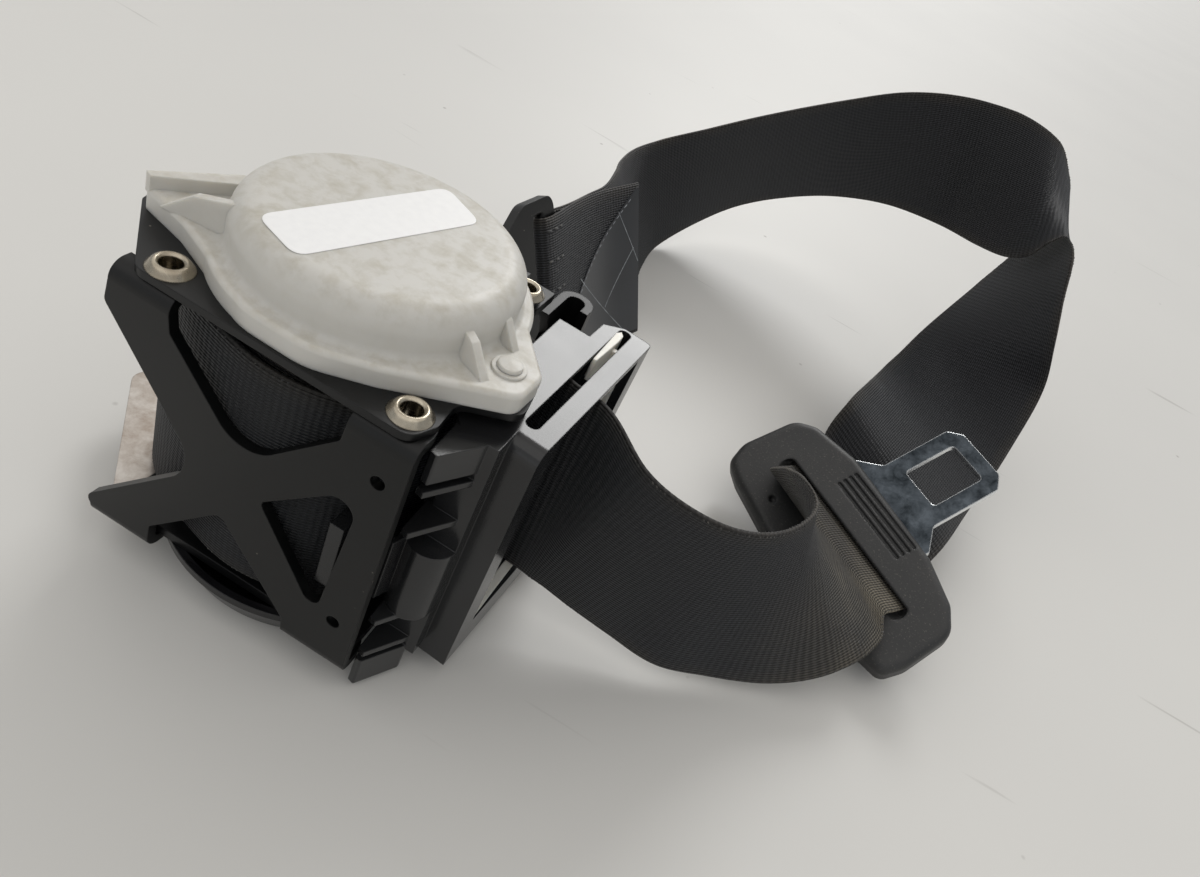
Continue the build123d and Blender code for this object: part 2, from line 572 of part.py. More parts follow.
def spiral(offset):
    """Points of the spring's spiral, pushed out by the offset."""
    count = SPRING_TURNS * POINTS_PER_TURN
    points = []
    for i in range(count + 1):
        r = SPRING_INNER_R + (SPRING_OUTER_R - SPRING_INNER_R) * i / count + offset
        a = 2 * pi * i / POINTS_PER_TURN
        points.append((r * cos(a), r * sin(a)))
    return points


with BuildPart() as power_spring:
    with BuildSketch(Plane.XY.offset(SPRING_LOW)):
        with BuildLine():
            inner = Spline(*spiral(0))
            outer = Spline(*spiral(SPRING_THICK))
            Line(inner @ 0, outer @ 0)
            Line(inner @ 1, outer @ 1)
        make_face()
    extrude(amount=SPRING_HIGH - SPRING_LOW)
save(power_spring, "power_spring")

# Spring cover: round housing with a skirt and two ears, moulded in one
COVER_OUTLINE = (
    (-34.4, -14.6), (-24.2, -17.4), (-13.1, -22.6), (-6.0, -26.7), (6.0, -26.9), (15.4, -22.4),
    (33.4, -11.2), (33.6, -3.6), (18.0, 16.5), (6.0, 26.9), (-10.0, 25.6), (-22.4, 12.0),
    (-27.2, -1.6),
)
COVER_RADII = (1.2, 6.0, 6.0, 12.0, 12.0, 8.0, 3.2, 3.2, 14.0, 14.0, 14.0, 14.0, 3.0)
with BuildPart() as spring_cover:
    with BuildSketch(Plane.XY.offset(TOP_FACE_Z)):
        add(straight_outline(COVER_OUTLINE, COVER_RADII))
        Circle(COVER_FLANGE_R - 0.6)
    extrude(amount=EAR_FLOOR_Z - TOP_FACE_Z)
    skirt_edges = spring_cover.faces().sort_by(Axis.Z)[-1].outer_wire().edges()
    fillet(skirt_edges, 0.9)
    # The skirt makes room for the rivet heads
    with BuildSketch(Plane.XY.offset(TOP_FACE_Z)):
        with Locations(*TOP_RIVETS):
            Circle(RIVET_HEAD_R + 0.3)
    extrude(amount=EAR_FLOOR_Z - TOP_FACE_Z, mode=Mode.SUBTRACT)
    with BuildSketch(Plane.XY.offset(EAR_FLOOR_Z)):
        Circle(COVER_R)
    extrude(amount=COVER_TOP_Z - EAR_FLOOR_Z)
    top_edges = spring_cover.faces().sort_by(Axis.Z)[-1].edges()
    fillet(top_edges, COVER_EDGE_R)
    foot = spring_cover.edges().filter_by(GeomType.CIRCLE).filter_by(
        lambda e: abs(e.center().Z - EAR_FLOOR_Z) < 0.01 and abs(e.radius - COVER_R) < 0.01)
    fillet(foot, 1.2)
    # Raised rim along the left ear's far edge, with the corner post that hooks over the plate
    with BuildSketch(Plane.XY.offset(EAR_FLOOR_Z - 1.0)):
        with BuildLine():
            Polyline((-34.3, -14.2), (-32.9, -14.9), (-22.0, -1.0), (-26.4, -1.6), close=True)
        make_face()
    extrude(amount=EAR_RIM_Z - EAR_FLOOR_Z + 1.0)
    # Gussets beside the two bosses
    for x0, y0, x1, y1 in ((27.9, -12.6, 18.0, -8.4), (27.6, -1.6, 20.0, -0.2),
                           (-29.4, -16.0, -17.5, -14.6)):
        length = sqrt((x1 - x0) ** 2 + (y1 - y0) ** 2)
        along = Vector((x1 - x0) / length, (y1 - y0) / length, 0)
        with BuildSketch(Plane(origin=(x0, y0, EAR_FLOOR_Z - 0.5), x_dir=along,
                               z_dir=along.cross(Vector(0, 0, 1)))):
            with BuildLine():
                Polyline((0, 0), (length, 0), (length, 6.6), (length * 0.45, 4.6), close=True)
            make_face()
        extrude(amount=0.8, both=True)
    # Bosses round the pins
    with BuildSketch(Plane.XY.offset(EAR_FLOOR_Z - 0.5)):
        with Locations(RIGHT_PIN, LEFT_PIN):
            Circle(2.9)
    extrude(amount=0.9)
    # Hollow for the spring
    with BuildSketch(Plane.XY.offset(TOP_FACE_Z)):
        Circle(COVER_R - COVER_WALL)
    extrude(amount=COVER_TOP_Z - COVER_WALL - TOP_FACE_Z, mode=Mode.SUBTRACT)
    with BuildSketch(Plane.XY.offset(TOP_FACE_Z)):
        with Locations(RIGHT_PIN, LEFT_PIN):
            Circle(PIN_R)
    extrude(amount=10.0, mode=Mode.SUBTRACT)
    with BuildSketch(Plane.XY.offset(EAR_FLOOR_Z + 0.4)):
        with Locations(RIGHT_PIN, LEFT_PIN):
            Circle(PIN_R + 0.7)
    extrude(amount=4.0, mode=Mode.SUBTRACT)
save(spring_cover, "spring_cover")

with BuildPart() as cover_pins:
    for x, y in (RIGHT_PIN, LEFT_PIN):
        with BuildSketch(Plane(origin=(x, y, 0), x_dir=(1, 0, 0), z_dir=(0, -1, 0))):
            with BuildLine():
                Polyline((0, TOP_PLATE_Z - 1.4), (PIN_R - 0.5, TOP_PLATE_Z - 1.4),
                         (PIN_R, TOP_PLATE_Z - 0.6), (PIN_R, EAR_FLOOR_Z + 0.4),
                         (PIN_R + 0.7, EAR_FLOOR_Z + 0.4), (PIN_R + 0.5, EAR_FLOOR_Z + 1.1),
                         (0, EAR_FLOOR_Z + 1.4), close=True)
            make_face()
        revolve(axis=Axis((x, y, 0), (0, 0, 1)))
save(cover_pins, "cover_pins")

# Webbing guide: a moulded block with ribs towards the front plate, open inside, with the
# webbing's way in on the spool side and its way out on the far side
GUIDE_FRONT_Y = -16.2
EXIT_X = 34.2
EXIT_BOTTOM = 5.2
INNER_BLOCK = ((GUIDE_INNER_X, -13.5), (27.8, GUIDE_FRONT_Y), (34.6, GUIDE_FRONT_Y), (34.6, 25.4),
               (GUIDE_INNER_X, 25.4))
EXIT_BAR = ((EXIT_X, -12.2), (40.2, -12.6), (42.4, 34.1), (36.2, 34.4), (32.3, 31.8), (32.0, 25.0))
RIB_OUTLINE = ((26.6, -15.5), (26.9, -23.9), (28.3, -24.3), (32.8, GUIDE_FRONT_Y), (32.8, -15.5))
RIB_LEVELS = (WEB_TOP - 7.7, WEB_TOP - 17.2, 20.0, 10.6)
HOLLOW_LOW = WEB_BOTTOM - 0.5
HOLLOW_HIGH = WEB_TOP + 0.5
EXIT_LOW_Y = -6.0
EXIT_HIGH_Y = 28.0
SLOT_X = 36.2
with BuildPart() as webbing_guide:
    with BuildSketch(Plane.XY.offset(EXIT_BOTTOM)):
        add(straight_outline(EXIT_BAR, (0, 0, 1.0, 1.0, 0, 0)))
    extrude(amount=GUIDE_TOP - EXIT_BOTTOM)
    front_edge = webbing_guide.faces().sort_by(Axis.Z)[-1].edges().sort_by(Axis.Y)[0]
    fillet(front_edge, 3.0)
    with BuildSketch(Plane.XY.offset(LOW_FLANGE_Z)):
        add(straight_outline(INNER_BLOCK, (0, 0, 0, 0, 0)))
    extrude(amount=GUIDE_TOP - LOW_FLANGE_Z)
    with BuildSketch(Plane.XY.offset(8.0)):
        with BuildLine():
            Polyline((GUIDE_LOW_X, GUIDE_FRONT_Y), (EXIT_X + 0.4, GUIDE_FRONT_Y),
                     (EXIT_X + 0.4, 12.0), (GUIDE_LOW_X, 12.0), close=True)
        make_face()
    extrude(amount=LOW_FLANGE_Z - 8.0)
    # Block at the foot and block at the top, and the ribs between them
    for low, high in ((GUIDE_BOTTOM, 9.0), (WEB_TOP - 4.7, GUIDE_TOP)):
        with BuildSketch(Plane.XY.offset(low)):
            add(straight_outline(RIB_OUTLINE, (0, 0.4, 0.4, 0, 0)))
        extrude(amount=high - low)
    for level in RIB_LEVELS:
        with BuildSketch(Plane.XY.offset(level)):
            add(straight_outline(RIB_OUTLINE, (0, 0, 0, 0, 0)))
        extrude(amount=RIB_T)
    with BuildSketch(Plane.XY.offset(21.0)):
        with Locations((30.0, GUIDE_FRONT_Y)):
            Circle(4.6)
    extrude(amount=17.0)
    # Snap leg behind the front plate's triangle window
    with BuildSketch(Plane.XY.offset(24.3)):
        with BuildLine():
            Polyline((28.0, GUIDE_FRONT_Y), (26.0, -22.6), (18.7, -22.6), (18.7, -25.9),
                     (16.0, -25.9), (16.0, -21.2), (25.4, -21.2), (26.4, -14.0), close=True)
        make_face()
    extrude(amount=14.7)
    # Hollow with the way in and the way out
    with BuildSketch(Plane.XY.offset(HOLLOW_LOW)):
        with BuildLine():
            Polyline((GUIDE_INNER_X + GUIDE_WALL, -12.0), (36.5, -9.0), (36.5, 23.4),
                     (GUIDE_INNER_X + GUIDE_WALL, 23.4), close=True)
        make_face()
        with Locations((GUIDE_INNER_X, 16.2)):
            Rectangle(3 * GUIDE_WALL, 9.0)
        with Locations((EXIT_X, EXIT_LOW_Y)):
            Rectangle(12.0, EXIT_HIGH_Y - EXIT_LOW_Y, align=(Align.MIN, Align.MIN))
    extrude(amount=HOLLOW_HIGH - HOLLOW_LOW, mode=Mode.SUBTRACT)
    # Slot in the top face for the liner's tab
    with BuildSketch(Plane.XY.offset(HOLLOW_HIGH - 4.0)):
        with Locations((SLOT_X, 13.2)):
            SlotOverall(41.0, 2.6, rotation=88)
    extrude(amount=6.0, mode=Mode.SUBTRACT)
    # Peg under the top plate's right lobe
    with BuildSketch(Plane.XY.offset(GUIDE_TOP)):
        with Locations((27.4, -0.6)):
            Circle(1.6)
    extrude(amount=TOP_PLATE_Z - GUIDE_TOP)
save(webbing_guide, "webbing_guide")

# Liner of the way out, with a tab that shows in the slot of the guide's top face
LINER_T = 0.8
with BuildPart() as guide_liner:
    with BuildSketch(Plane.YZ.offset(38.4)):
        with Locations(((EXIT_LOW_Y + EXIT_HIGH_Y) / 2, HOLLOW_LOW)):
            Rectangle(EXIT_HIGH_Y - EXIT_LOW_Y, HOLLOW_HIGH - HOLLOW_LOW,
                      align=(Align.CENTER, Align.MIN))
        with Locations(((EXIT_LOW_Y + EXIT_HIGH_Y) / 2, HOLLOW_LOW + 0.3)):
            Rectangle(EXIT_HIGH_Y - EXIT_LOW_Y - 2 * LINER_T, HOLLOW_HIGH,
                      align=(Align.CENTER, Align.MIN), mode=Mode.SUBTRACT)
    extrude(amount=1.9)
    with BuildSketch(Plane.XY.offset(HOLLOW_HIGH - 3.6)):
        with BuildLine():
            Polyline((38.6, 27.9), (38.6, 27.2), (36.6, 26.4), (36.3, 20.0), (35.3, 20.0),
                     (35.4, 27.9), close=True)
        make_face()
    extrude(amount=3.5)
    with BuildSketch(Plane.XY.offset(HOLLOW_HIGH - 3.6)):
        with BuildLine():
            Polyline((36.3, 19.0), (35.6, 19.0), (35.5, 31.0), (36.2, 32.2), (37.0, 31.0),
                     (37.0, 28.5), close=True)
        make_face()
    extrude(amount=4.9)
save(guide_liner, "guide_liner")


LOFT_SPANS = 9


def web_planes(stations, steps, shift=0.0):
    """Planes across the webbing: x along its width, y through its thickness."""
    lows = [Vector(*low) for low, high in stations]
    highs = [Vector(*high) for low, high in stations]

    def between(points, i, t):
        p0, p1 = points[max(i - 1, 0)], points[i]
        p2, p3 = points[i + 1], points[min(i + 2, len(points) - 1)]
        return (p1 * 2 + (p2 - p0) * t + (p0 * 2 - p1 * 5 + p2 * 4 - p3) * t ** 2
                + (p1 * 3 - p0 - p2 * 3 + p3) * t ** 3) * 0.5

    pairs = []
    for i in range(len(stations) - 1):
        for k in range(steps):
            pairs.append((between(lows, i, k / steps), between(highs, i, k / steps)))
    pairs.append((lows[-1], highs[-1]))
    middles = [(low + high) * 0.5 for low, high in pairs]
    planes = []
    for i, (low, high) in enumerate(pairs):
        across = (low - high).normalized()
        ahead = middles[min(i + 1, len(middles) - 1)] - middles[max(i - 1, 0)]
        face = ahead.cross(across).normalized()
        planes.append(Plane(origin=middles[i] + face * shift, x_dir=across,
                            z_dir=across.cross(face)))
    return planes


def web_solid(planes, width=WEB_WIDTH, thick=WEB_THICK):
    """A stretch of webbing as ruled solids through its planes, a few planes at a time."""
    with BuildPart() as stretch:
        for start in range(0, len(planes) - 1, LOFT_SPANS):
            for plane in planes[start:start + LOFT_SPANS + 1]:
                with BuildSketch(plane):
                    Rectangle(width, thick)
            loft(ruled=True)
    return stretch


def upright(x, y):
    """A station where the webbing stands upright at the guide's level."""
    return ((x, y, WEB_BOTTOM), (x, y, WEB_TOP))


# Slack turn: the outermost turn lies loose round the roll and bulges to the left
SLACK_R = ROLL_R + 0.35 + WEB_THICK / 2
SLACK_BULGE = 8.5
SLACK_FROM = -50
SLACK_TO = -295
SLACK_STEP = 7


def slack_station(angle):
    """Where the slack turn stands at an angle round the spool, in degrees."""
    bulge = SLACK_BULGE * sin(pi * min(max((angle + 262) / 157, 0), 1)) ** 2
    r = SLACK_R + bulge
    return upright(r * cos(radians(angle)), r * sin(radians(angle)))


WAY_IN = (24.3, 16.9)
slack_stations = [slack_station(a) for a in range(SLACK_FROM, SLACK_TO - 1, -SLACK_STEP)]
slack_stations += [upright(17.0, 20.1), upright(*WAY_IN)]
webbing_slack = web_solid(web_planes(slack_stations, 1))
save(webbing_slack, "webbing_slack")

# Webbing from the guide to the middle of the tongue's slot: lower edge and upper edge
SLOT_DIR = (TONGUE_UP * -sin(radians(SLOT_TILT))
            + TONGUE_UP.cross(ACROSS).normalized() * cos(radians(SLOT_TILT))).normalized()


def in_slot(distance):
    """A station inside the tongue's slot, at a distance along it from its upper mouth."""
    middle = SLOT_CENTRE + SLOT_DIR * distance
    half = ACROSS.normalized() * (WEB_WIDTH / 2)
    return (tuple(middle + half), tuple(middle - half))


SLOT_DEEP = 6.2
payout_stations = [
    upright(*WAY_IN), upright(30.0, 14.3), upright(36.0, 12.0), upright(41.8, 11.3),
    ((45.7, 13.3, 11.2), (55.5, 6.0, 56.5)),
    ((54.0, 14.4, 8.9), (66.4, 7.5, 53.7)),
    ((64.3, 16.2, 6.0), (75.2, 12.5, 51.6)),
    ((76.3, 18.1, 3.5), (81.5, 19.7, 50.2)),
    ((88.5, 24.2, 2.9), (85.3, 27.1, 49.7)),
    ((101.4, 30.6, 4.5), (86.9, 36.1, 48.8)),
    ((113.3, 38.5, 10.7), (83.1, 47.5, 45.4)),
    ((119.4, 46.4, 13.0), (80.3, 59.6, 38.2)),
    ((120.2, 52.0, 15.2), (80.6, 71.0, 29.0)),
    in_slot(-5.0), in_slot(0.0), in_slot(SLOT_DEEP),
]
webbing_payout = web_solid(web_planes(payout_stations, 3))
save(webbing_payout, "webbing_payout")

# Lower anchor: a plate whose slot takes the webbing's sewn loop
ANCHOR_PLANE = Plane(origin=(6.5, 82.0, 26.5), x_dir=(0.4545, -0.0762, -0.887),
                     z_dir=(0.888, -0.017, 0.4565))
BAR_LOW = 1.6
BAR_HIGH = 8.6
FOLD_R = ANCHOR_T / 2 + 0.1 + WEB_THICK / 2
FOLD_Y = BAR_LOW + ANCHOR_T / 2 + 0.05
FOLD_END = FOLD_Y + 1.0


def at_anchor(y, z, half=WEB_WIDTH / 2):
    """A station on the anchor's own plane, y towards the webbing, z towards the flap."""
    low = ANCHOR_PLANE.from_local_coords((half, y, z))
    high = ANCHOR_PLANE.from_local_coords((-half, y, z))
    return (tuple(low), tuple(high))


# Webbing from the slot round the loop to the fold at the anchor
loop_stations = [
    in_slot(SLOT_DEEP), in_slot(12.4), in_slot(17.5),
    ((131.7, 96.0, 18.6), (89.8, 110.4, 33.7)),
    ((137.2, 117.9, 18.4), (93.6, 129.3, 31.8)),
    ((142.9, 139.1, 20.8), (97.1, 149.2, 26.4)),
    ((146.8, 159.3, 26.6), (101.0, 169.6, 22.6)),
    ((147.8, 175.0, 38.5), (105.9, 190.5, 23.5)),
    ((142.0, 177.3, 52.0), (112.3, 208.8, 33.7)),
    ((136.7, 182.6, 63.1), (118.2, 221.7, 44.8)),
    ((128.2, 192.7, 77.7), (126.8, 239.1, 70.0)),
    ((124.7, 200.9, 74.1), (122.2, 244.6, 88.0)),
    ((123.1, 206.7, 65.4), (114.5, 242.6, 94.5)),
    ((110.1, 232.7, 53.3), (95.8, 243.8, 95.8)),
    ((95.8, 248.7, 48.3), (80.2, 247.8, 92.2)),
    ((76.1, 255.9, 43.2), (59.5, 242.0, 84.8)),
    ((57.2, 255.9, 36.2), (44.9, 234.5, 76.1)),
    ((39.4, 248.6, 27.7), (31.0, 224.8, 67.4)),
    ((24.6, 237.3, 18.6), (18.0, 214.0, 58.9)),
    ((14.1, 222.6, 8.8), (5.6, 202.4, 50.4)),
    ((7.6, 205.2, 1.2), (-5.6, 188.9, 43.2)),
    ((8.6, 186.0, 0.8), (-8.6, 174.0, 43.6)),
    ((12.6, 167.0, 1.0), (-7.6, 160.0, 43.2)),
    ((16.4, 150.0, 1.6), (-5.0, 147.5, 43.4)),
    at_anchor(54.0, -WEB_THICK / 2), at_anchor(46.0, -WEB_THICK / 2),
    at_anchor(38.0, -WEB_THICK / 2),
    at_anchor(18.0, -WEB_THICK / 2), at_anchor(9.6, -FOLD_R), at_anchor(FOLD_END + 0.02, -FOLD_R),
]
OUT_SPANS = 30
TURN_SPANS = 60
loop_planes = web_planes(loop_stations, 3)
webbing_loop_out = web_solid(loop_planes[:OUT_SPANS + 1])
save(webbing_loop_out, "webbing_loop_out")
webbing_loop_turn = web_solid(loop_planes[OUT_SPANS:TURN_SPANS + 1])
save(webbing_loop_turn, "webbing_loop_turn")
webbing_loop_back = web_solid(loop_planes[TURN_SPANS:])
save(webbing_loop_back, "webbing_loop_back")

# Sewn end: the webbing turns in the anchor's slot and comes back as a flap on the loop's end
FOLD_STEPS = 6
fold_stations = [at_anchor(FOLD_END, -FOLD_R)]
for i in range(FOLD_STEPS + 1):
    turn = pi * i / FOLD_STEPS
    fold_stations.append(at_anchor(FOLD_Y - FOLD_R * sin(turn), -FOLD_R * cos(turn)))
fold_stations.append(at_anchor(FOLD_END, FOLD_R))
webbing_fold = web_solid(web_planes(fold_stations, 1))
save(webbing_fold, "webbing_fold")

FLAP_Z = WEB_THICK / 2 + 0.35
flap_stations = [
    at_anchor(FOLD_END, FOLD_R), at_anchor(9.6, FOLD_R), at_anchor(18.0, FLAP_Z), at_anchor(38.0, FLAP_Z),
    ((22.4, 134.6, 3.2), (2.4, 141.4, 45.0)),
]
webbing_flap = web_solid(web_planes(flap_stations, 3))
save(webbing_flap, "webbing_flap")

# Blank fabric label sewn on the flap
LABEL_T = 0.3
LABEL_W = WEB_WIDTH - 3.0
LABEL_SKIPPED_SPANS = 5
LABEL_SHIFT = -(WEB_THICK + LABEL_T) / 2 - 0.05
label_planes = web_planes(flap_stations, 3, LABEL_SHIFT)[LABEL_SKIPPED_SPANS:-1]
belt_label = web_solid(label_planes, LABEL_W, LABEL_T)
save(belt_label, "belt_label")

with BuildPart() as anchor_plate:
    with BuildSketch(ANCHOR_PLANE.offset(-ANCHOR_T / 2)):
        add(straight_outline(((-ANCHOR_W / 2, BAR_HIGH), (-ANCHOR_W / 2, -8.0), (-13.0, -36.0),
                              (13.0, -36.0), (ANCHOR_W / 2, -8.0), (ANCHOR_W / 2, BAR_HIGH)),
                             (4.0, 8.0, 11.0, 11.0, 8.0, 4.0)))
        with Locations((0, BAR_LOW - 2.0)):
            RectangleRounded(ANCHOR_SLOT_W, 4.0, 0.6, mode=Mode.SUBTRACT)
        with Locations((0, -22.0)):
            Circle(ANCHOR_BOLT_R, mode=Mode.SUBTRACT)
    extrude(amount=ANCHOR_T)
    bar_edges = anchor_plate.edges().filter_by(
        lambda e: abs(ANCHOR_PLANE.to_local_coords(e.center()).Y - BAR_LOW) < 0.01 and e.length > 30)
    fillet(bar_edges, ANCHOR_T / 2 - 0.05)
save(anchor_plate, "anchor_plate")

# Tongue: a latch plate with a moulded body round it, both slotted for the webbing
TONGUE_PLANE = Plane(origin=SLOT_CENTRE, x_dir=ACROSS, z_dir=TONGUE_UP)
SLOT_PLANE = Plane(origin=SLOT_CENTRE, x_dir=ACROSS, z_dir=SLOT_DIR)
BODY_OUTLINE = (
    (-33.5, -12.2), (-36.2, -5.9), (-35.0, 10.2), (-30.0, 14.2), (-16.3, 17.1), (16.3, 15.9),
    (28.5, 12.6), (34.6, 8.0), (35.6, -6.0), (34.2, -12.2), (27.0, -13.8), (10.7, -15.9),
    (-10.0, -15.9), (-27.4, -14.0),
)
BODY_RADII = (4, 8, 6, 6, 3, 3, 6, 6, 8, 3, 8, 8, 8, 8)
LATCH_OUTLINE = (
    (-30.0, -9.5), (-30.0, 8.0), (-16.9, 13.5), (-16.9, 17.6), (-11.7, 22.9), (-11.7, 43.2),
    (-8.4, 46.4), (5.8, 46.4), (9.1, 43.2), (9.1, 22.9), (14.3, 17.6), (14.3, 13.5),
    (30.0, 8.0), (30.0, -9.5),
)
LATCH_RADII = (3, 3, 0, 0, 2, 1, 2, 2, 1, 2, 0, 0, 3, 3)
WINDOW_W = 11.8
WINDOW_L = 15.6
WINDOW_U = -1.3
WINDOW_V = 34.2
with BuildPart() as tongue_plate:
    with BuildSketch(TONGUE_PLANE.offset(-LATCH_DROP - LATCH_T)):
        add(straight_outline(LATCH_OUTLINE, LATCH_RADII))
        with Locations((WINDOW_U, WINDOW_V)):
            RectangleRounded(WINDOW_W, WINDOW_L, 1.2, mode=Mode.SUBTRACT)
        with Locations((0, LATCH_DROP / tan(radians(SLOT_TILT)) + 1.2)):
            RectangleRounded(SLOT_W + 1.0, 8.4, 2.0, mode=Mode.SUBTRACT)
    extrude(amount=LATCH_T)
save(tongue_plate, "tongue_plate")

with BuildPart() as tongue_cover:
    with BuildSketch(TONGUE_PLANE.offset(-TONGUE_BODY_T)):
        add(straight_outline(BODY_OUTLINE, BODY_RADII))
    extrude(amount=TONGUE_BODY_T)
    rims = tongue_cover.faces().sort_by(Axis(SLOT_CENTRE, TONGUE_UP))
    fillet(rims[-1].edges() + rims[0].edges(), 2.4)
    # Grip grooves
    for i in range(4):
        with BuildSketch(TONGUE_PLANE.offset(-0.6)):
            with Locations((0, 8.6 + 1.75 * i)):
                SlotOverall(25.2, 1.0)
        extrude(amount=1.0, mode=Mode.SUBTRACT)
    # Dimple
    with Locations(TONGUE_PLANE.from_local_coords((-17.3, -8.7, 0.4))):
        Sphere(1.2, mode=Mode.SUBTRACT)
    # Seat of the latch plate, then the webbing's slot
    add(tongue_plate.part, mode=Mode.SUBTRACT)
    with BuildSketch(SLOT_PLANE):
        SlotOverall(SLOT_W + 1.0, SLOT_T)
    extrude(amount=20.0, both=True, mode=Mode.SUBTRACT)
save(tongue_cover, "tongue_cover")
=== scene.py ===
# %% [markdown]
# This lesson dresses a seat belt that was taken off its car: the retractor with its plates
# and moulded parts, the webbing with the tongue on it, and the sewn end at the lower anchor.
# The solids come packed from CAD and stay where they are. Blender adds what they can't show:
# woven webbing, threads, worn coatings, moulded grain and soft light.

from math import cos, pi, radians, sin

import bmesh
import bpy
from mathutils import Matrix, Vector


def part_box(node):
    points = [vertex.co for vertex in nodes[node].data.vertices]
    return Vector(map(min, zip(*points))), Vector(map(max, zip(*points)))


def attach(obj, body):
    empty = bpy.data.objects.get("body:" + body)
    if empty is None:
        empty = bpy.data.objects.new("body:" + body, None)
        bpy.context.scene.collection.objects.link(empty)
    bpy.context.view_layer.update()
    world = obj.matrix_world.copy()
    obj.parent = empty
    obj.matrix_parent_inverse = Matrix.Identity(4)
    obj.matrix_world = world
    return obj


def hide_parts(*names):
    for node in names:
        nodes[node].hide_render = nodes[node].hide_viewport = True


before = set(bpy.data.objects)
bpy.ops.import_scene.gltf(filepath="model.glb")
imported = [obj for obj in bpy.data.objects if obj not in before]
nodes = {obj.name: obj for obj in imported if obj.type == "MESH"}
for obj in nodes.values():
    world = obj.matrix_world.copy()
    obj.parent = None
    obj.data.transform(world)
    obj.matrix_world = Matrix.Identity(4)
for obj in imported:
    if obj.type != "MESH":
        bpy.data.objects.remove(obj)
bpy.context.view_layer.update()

# %% [markdown]
# Colours are written as sRGB hex, as a colour picker shows them. Blender mixes light in
# linear values, so one function turns them. A second one adds any node with its settings and
# links, which keeps each material readable as a short list of steps. What comes back in several
# materials is a function too: a colour that drifts between two tones, a surface with softened
# edges and fine relief, and small specks of dust or grit.

# %% Helpers for colours, nodes and pieces
MM = 0.001


def linear(code):
    """The linear colour of an sRGB hex code."""
    values = [int(code[i:i + 2], 16) / 255 for i in (1, 3, 5)]
    return tuple(v / 12.92 if v <= 0.04045 else ((v + 0.055) / 1.055) ** 2.4
                 for v in values) + (1.0,)


def add_node(tree, kind, settings=None, links=None):
    """Add a node, set its properties and sockets, and link what feeds it.

    A kind without "Node" in its name is a shader node.
    """
    node = tree.nodes.new(kind if "Node" in kind else "ShaderNode" + kind)
    for name, value in (settings or {}).items():
        if isinstance(name, int) or name in node.inputs:
            node.inputs[name].default_value = value
        else:
            setattr(node, name, value)
    for name, source in (links or {}).items():
        socket = source if isinstance(source, bpy.types.NodeSocket) else source.outputs[0]
        tree.links.new(socket, node.inputs[name])
    return node


def start_finish(name):
    """A new material with an empty tree; returns the material and the tree."""
    finish = bpy.data.materials.new(name)
    finish.use_nodes = True
    finish.node_tree.nodes.clear()
    print("material:", name)
    return finish, finish.node_tree


def end_finish(tree, settings, links):
    """Close a material's tree with its shader and the output."""
    shader = add_node(tree, "BsdfPrincipled", settings, links)
    add_node(tree, "OutputMaterial", links={"Surface": shader})


def drifting(tree, where, noise, dark, light, span=None):
    """A colour that drifts between two tones with a noise; returns the colour and the noise."""
    cloud = add_node(tree, "TexNoise", noise, {"Vector": where})
    share = cloud
    if span:
        share = add_node(tree, "MapRange", {"From Min": span[0], "From Max": span[1]},
                         {"Value": cloud})
    tone = add_node(tree, "Mix", {"data_type": "RGBA", 6: linear(dark), 7: linear(light)},
                    {0: share})
    return tone.outputs[2], cloud


def softened(tree, height, strength, depth, radius, samples=4):
    """A surface with rounded edges and fine relief, in mm; returns the relief and the edge."""
    edge = add_node(tree, "Bevel", {"samples": samples, "Radius": radius * MM})
    relief = add_node(tree, "Bump", {"Strength": strength, "Distance": depth * MM},
                      {"Height": height, "Normal": edge})
    return relief, edge


def speckled(tree, where, scale, near, far, most):
    """Small round specks, strongest within near and gone past far in the pattern's cells."""
    cells = add_node(tree, "TexVoronoi", {"Scale": scale}, {"Vector": where})
    return add_node(tree, "MapRange",
                    {"From Min": near, "From Max": far, "To Min": most, "To Max": 0.0},
                    {"Value": cells.outputs["Distance"]})


def put_in_scene(name, data):
    """An object for a mesh, a lamp or a camera, linked to the scene."""
    placed = bpy.data.objects.new(name, data)
    bpy.context.scene.collection.objects.link(placed)
    return placed


def mesh_piece(name, bm):
    """A piece from a bmesh, with its normals turned outward."""
    bmesh.ops.recalc_face_normals(bm, faces=bm.faces)
    mesh = bpy.data.meshes.new(name)
    bm.to_mesh(mesh)
    bm.free()
    return put_in_scene(name, mesh)


print("white paper in linear light:", [round(v, 3) for v in linear("#f2f2f0")])

# %% [markdown]
# The camera stands where the photograph was taken from, to the right of the retractor's
# front and above it, and looks down at about 37 degrees. Its three directions were found from
# the plates' and rivets' places in the picture, and are written as a turned matrix, which is
# surer than aiming at a point because it also keeps the slight roll of a hand-held picture.

# %% Camera
IMAGE_W = 1200
SENSOR = 36.0
FOCAL_PX = 901.2
CAMERA_AT = Vector((58.5, -118.0, 151.5))
camera_data = bpy.data.cameras.new("picture_camera")
camera_data.sensor_fit = "HORIZONTAL"
camera_data.sensor_width = SENSOR
camera_data.lens = FOCAL_PX / IMAGE_W * SENSOR
camera_data.clip_start = 0.01
camera_data.clip_end = 20.0
camera = put_in_scene("picture_camera", camera_data)
right = Vector((0.85159, 0.37293, 0.36840))
up = Vector((-0.51688836, 0.48031249, 0.70860873))
ahead = Vector((-0.08731238, 0.79386627, -0.60179141))
turned = Matrix((right, up, -ahead)).transposed()
camera.matrix_world = Matrix.Translation(CAMERA_AT * MM) @ turned.to_4x4()
bpy.context.scene.camera = camera
print("lens in mm:", round(camera_data.lens, 2))

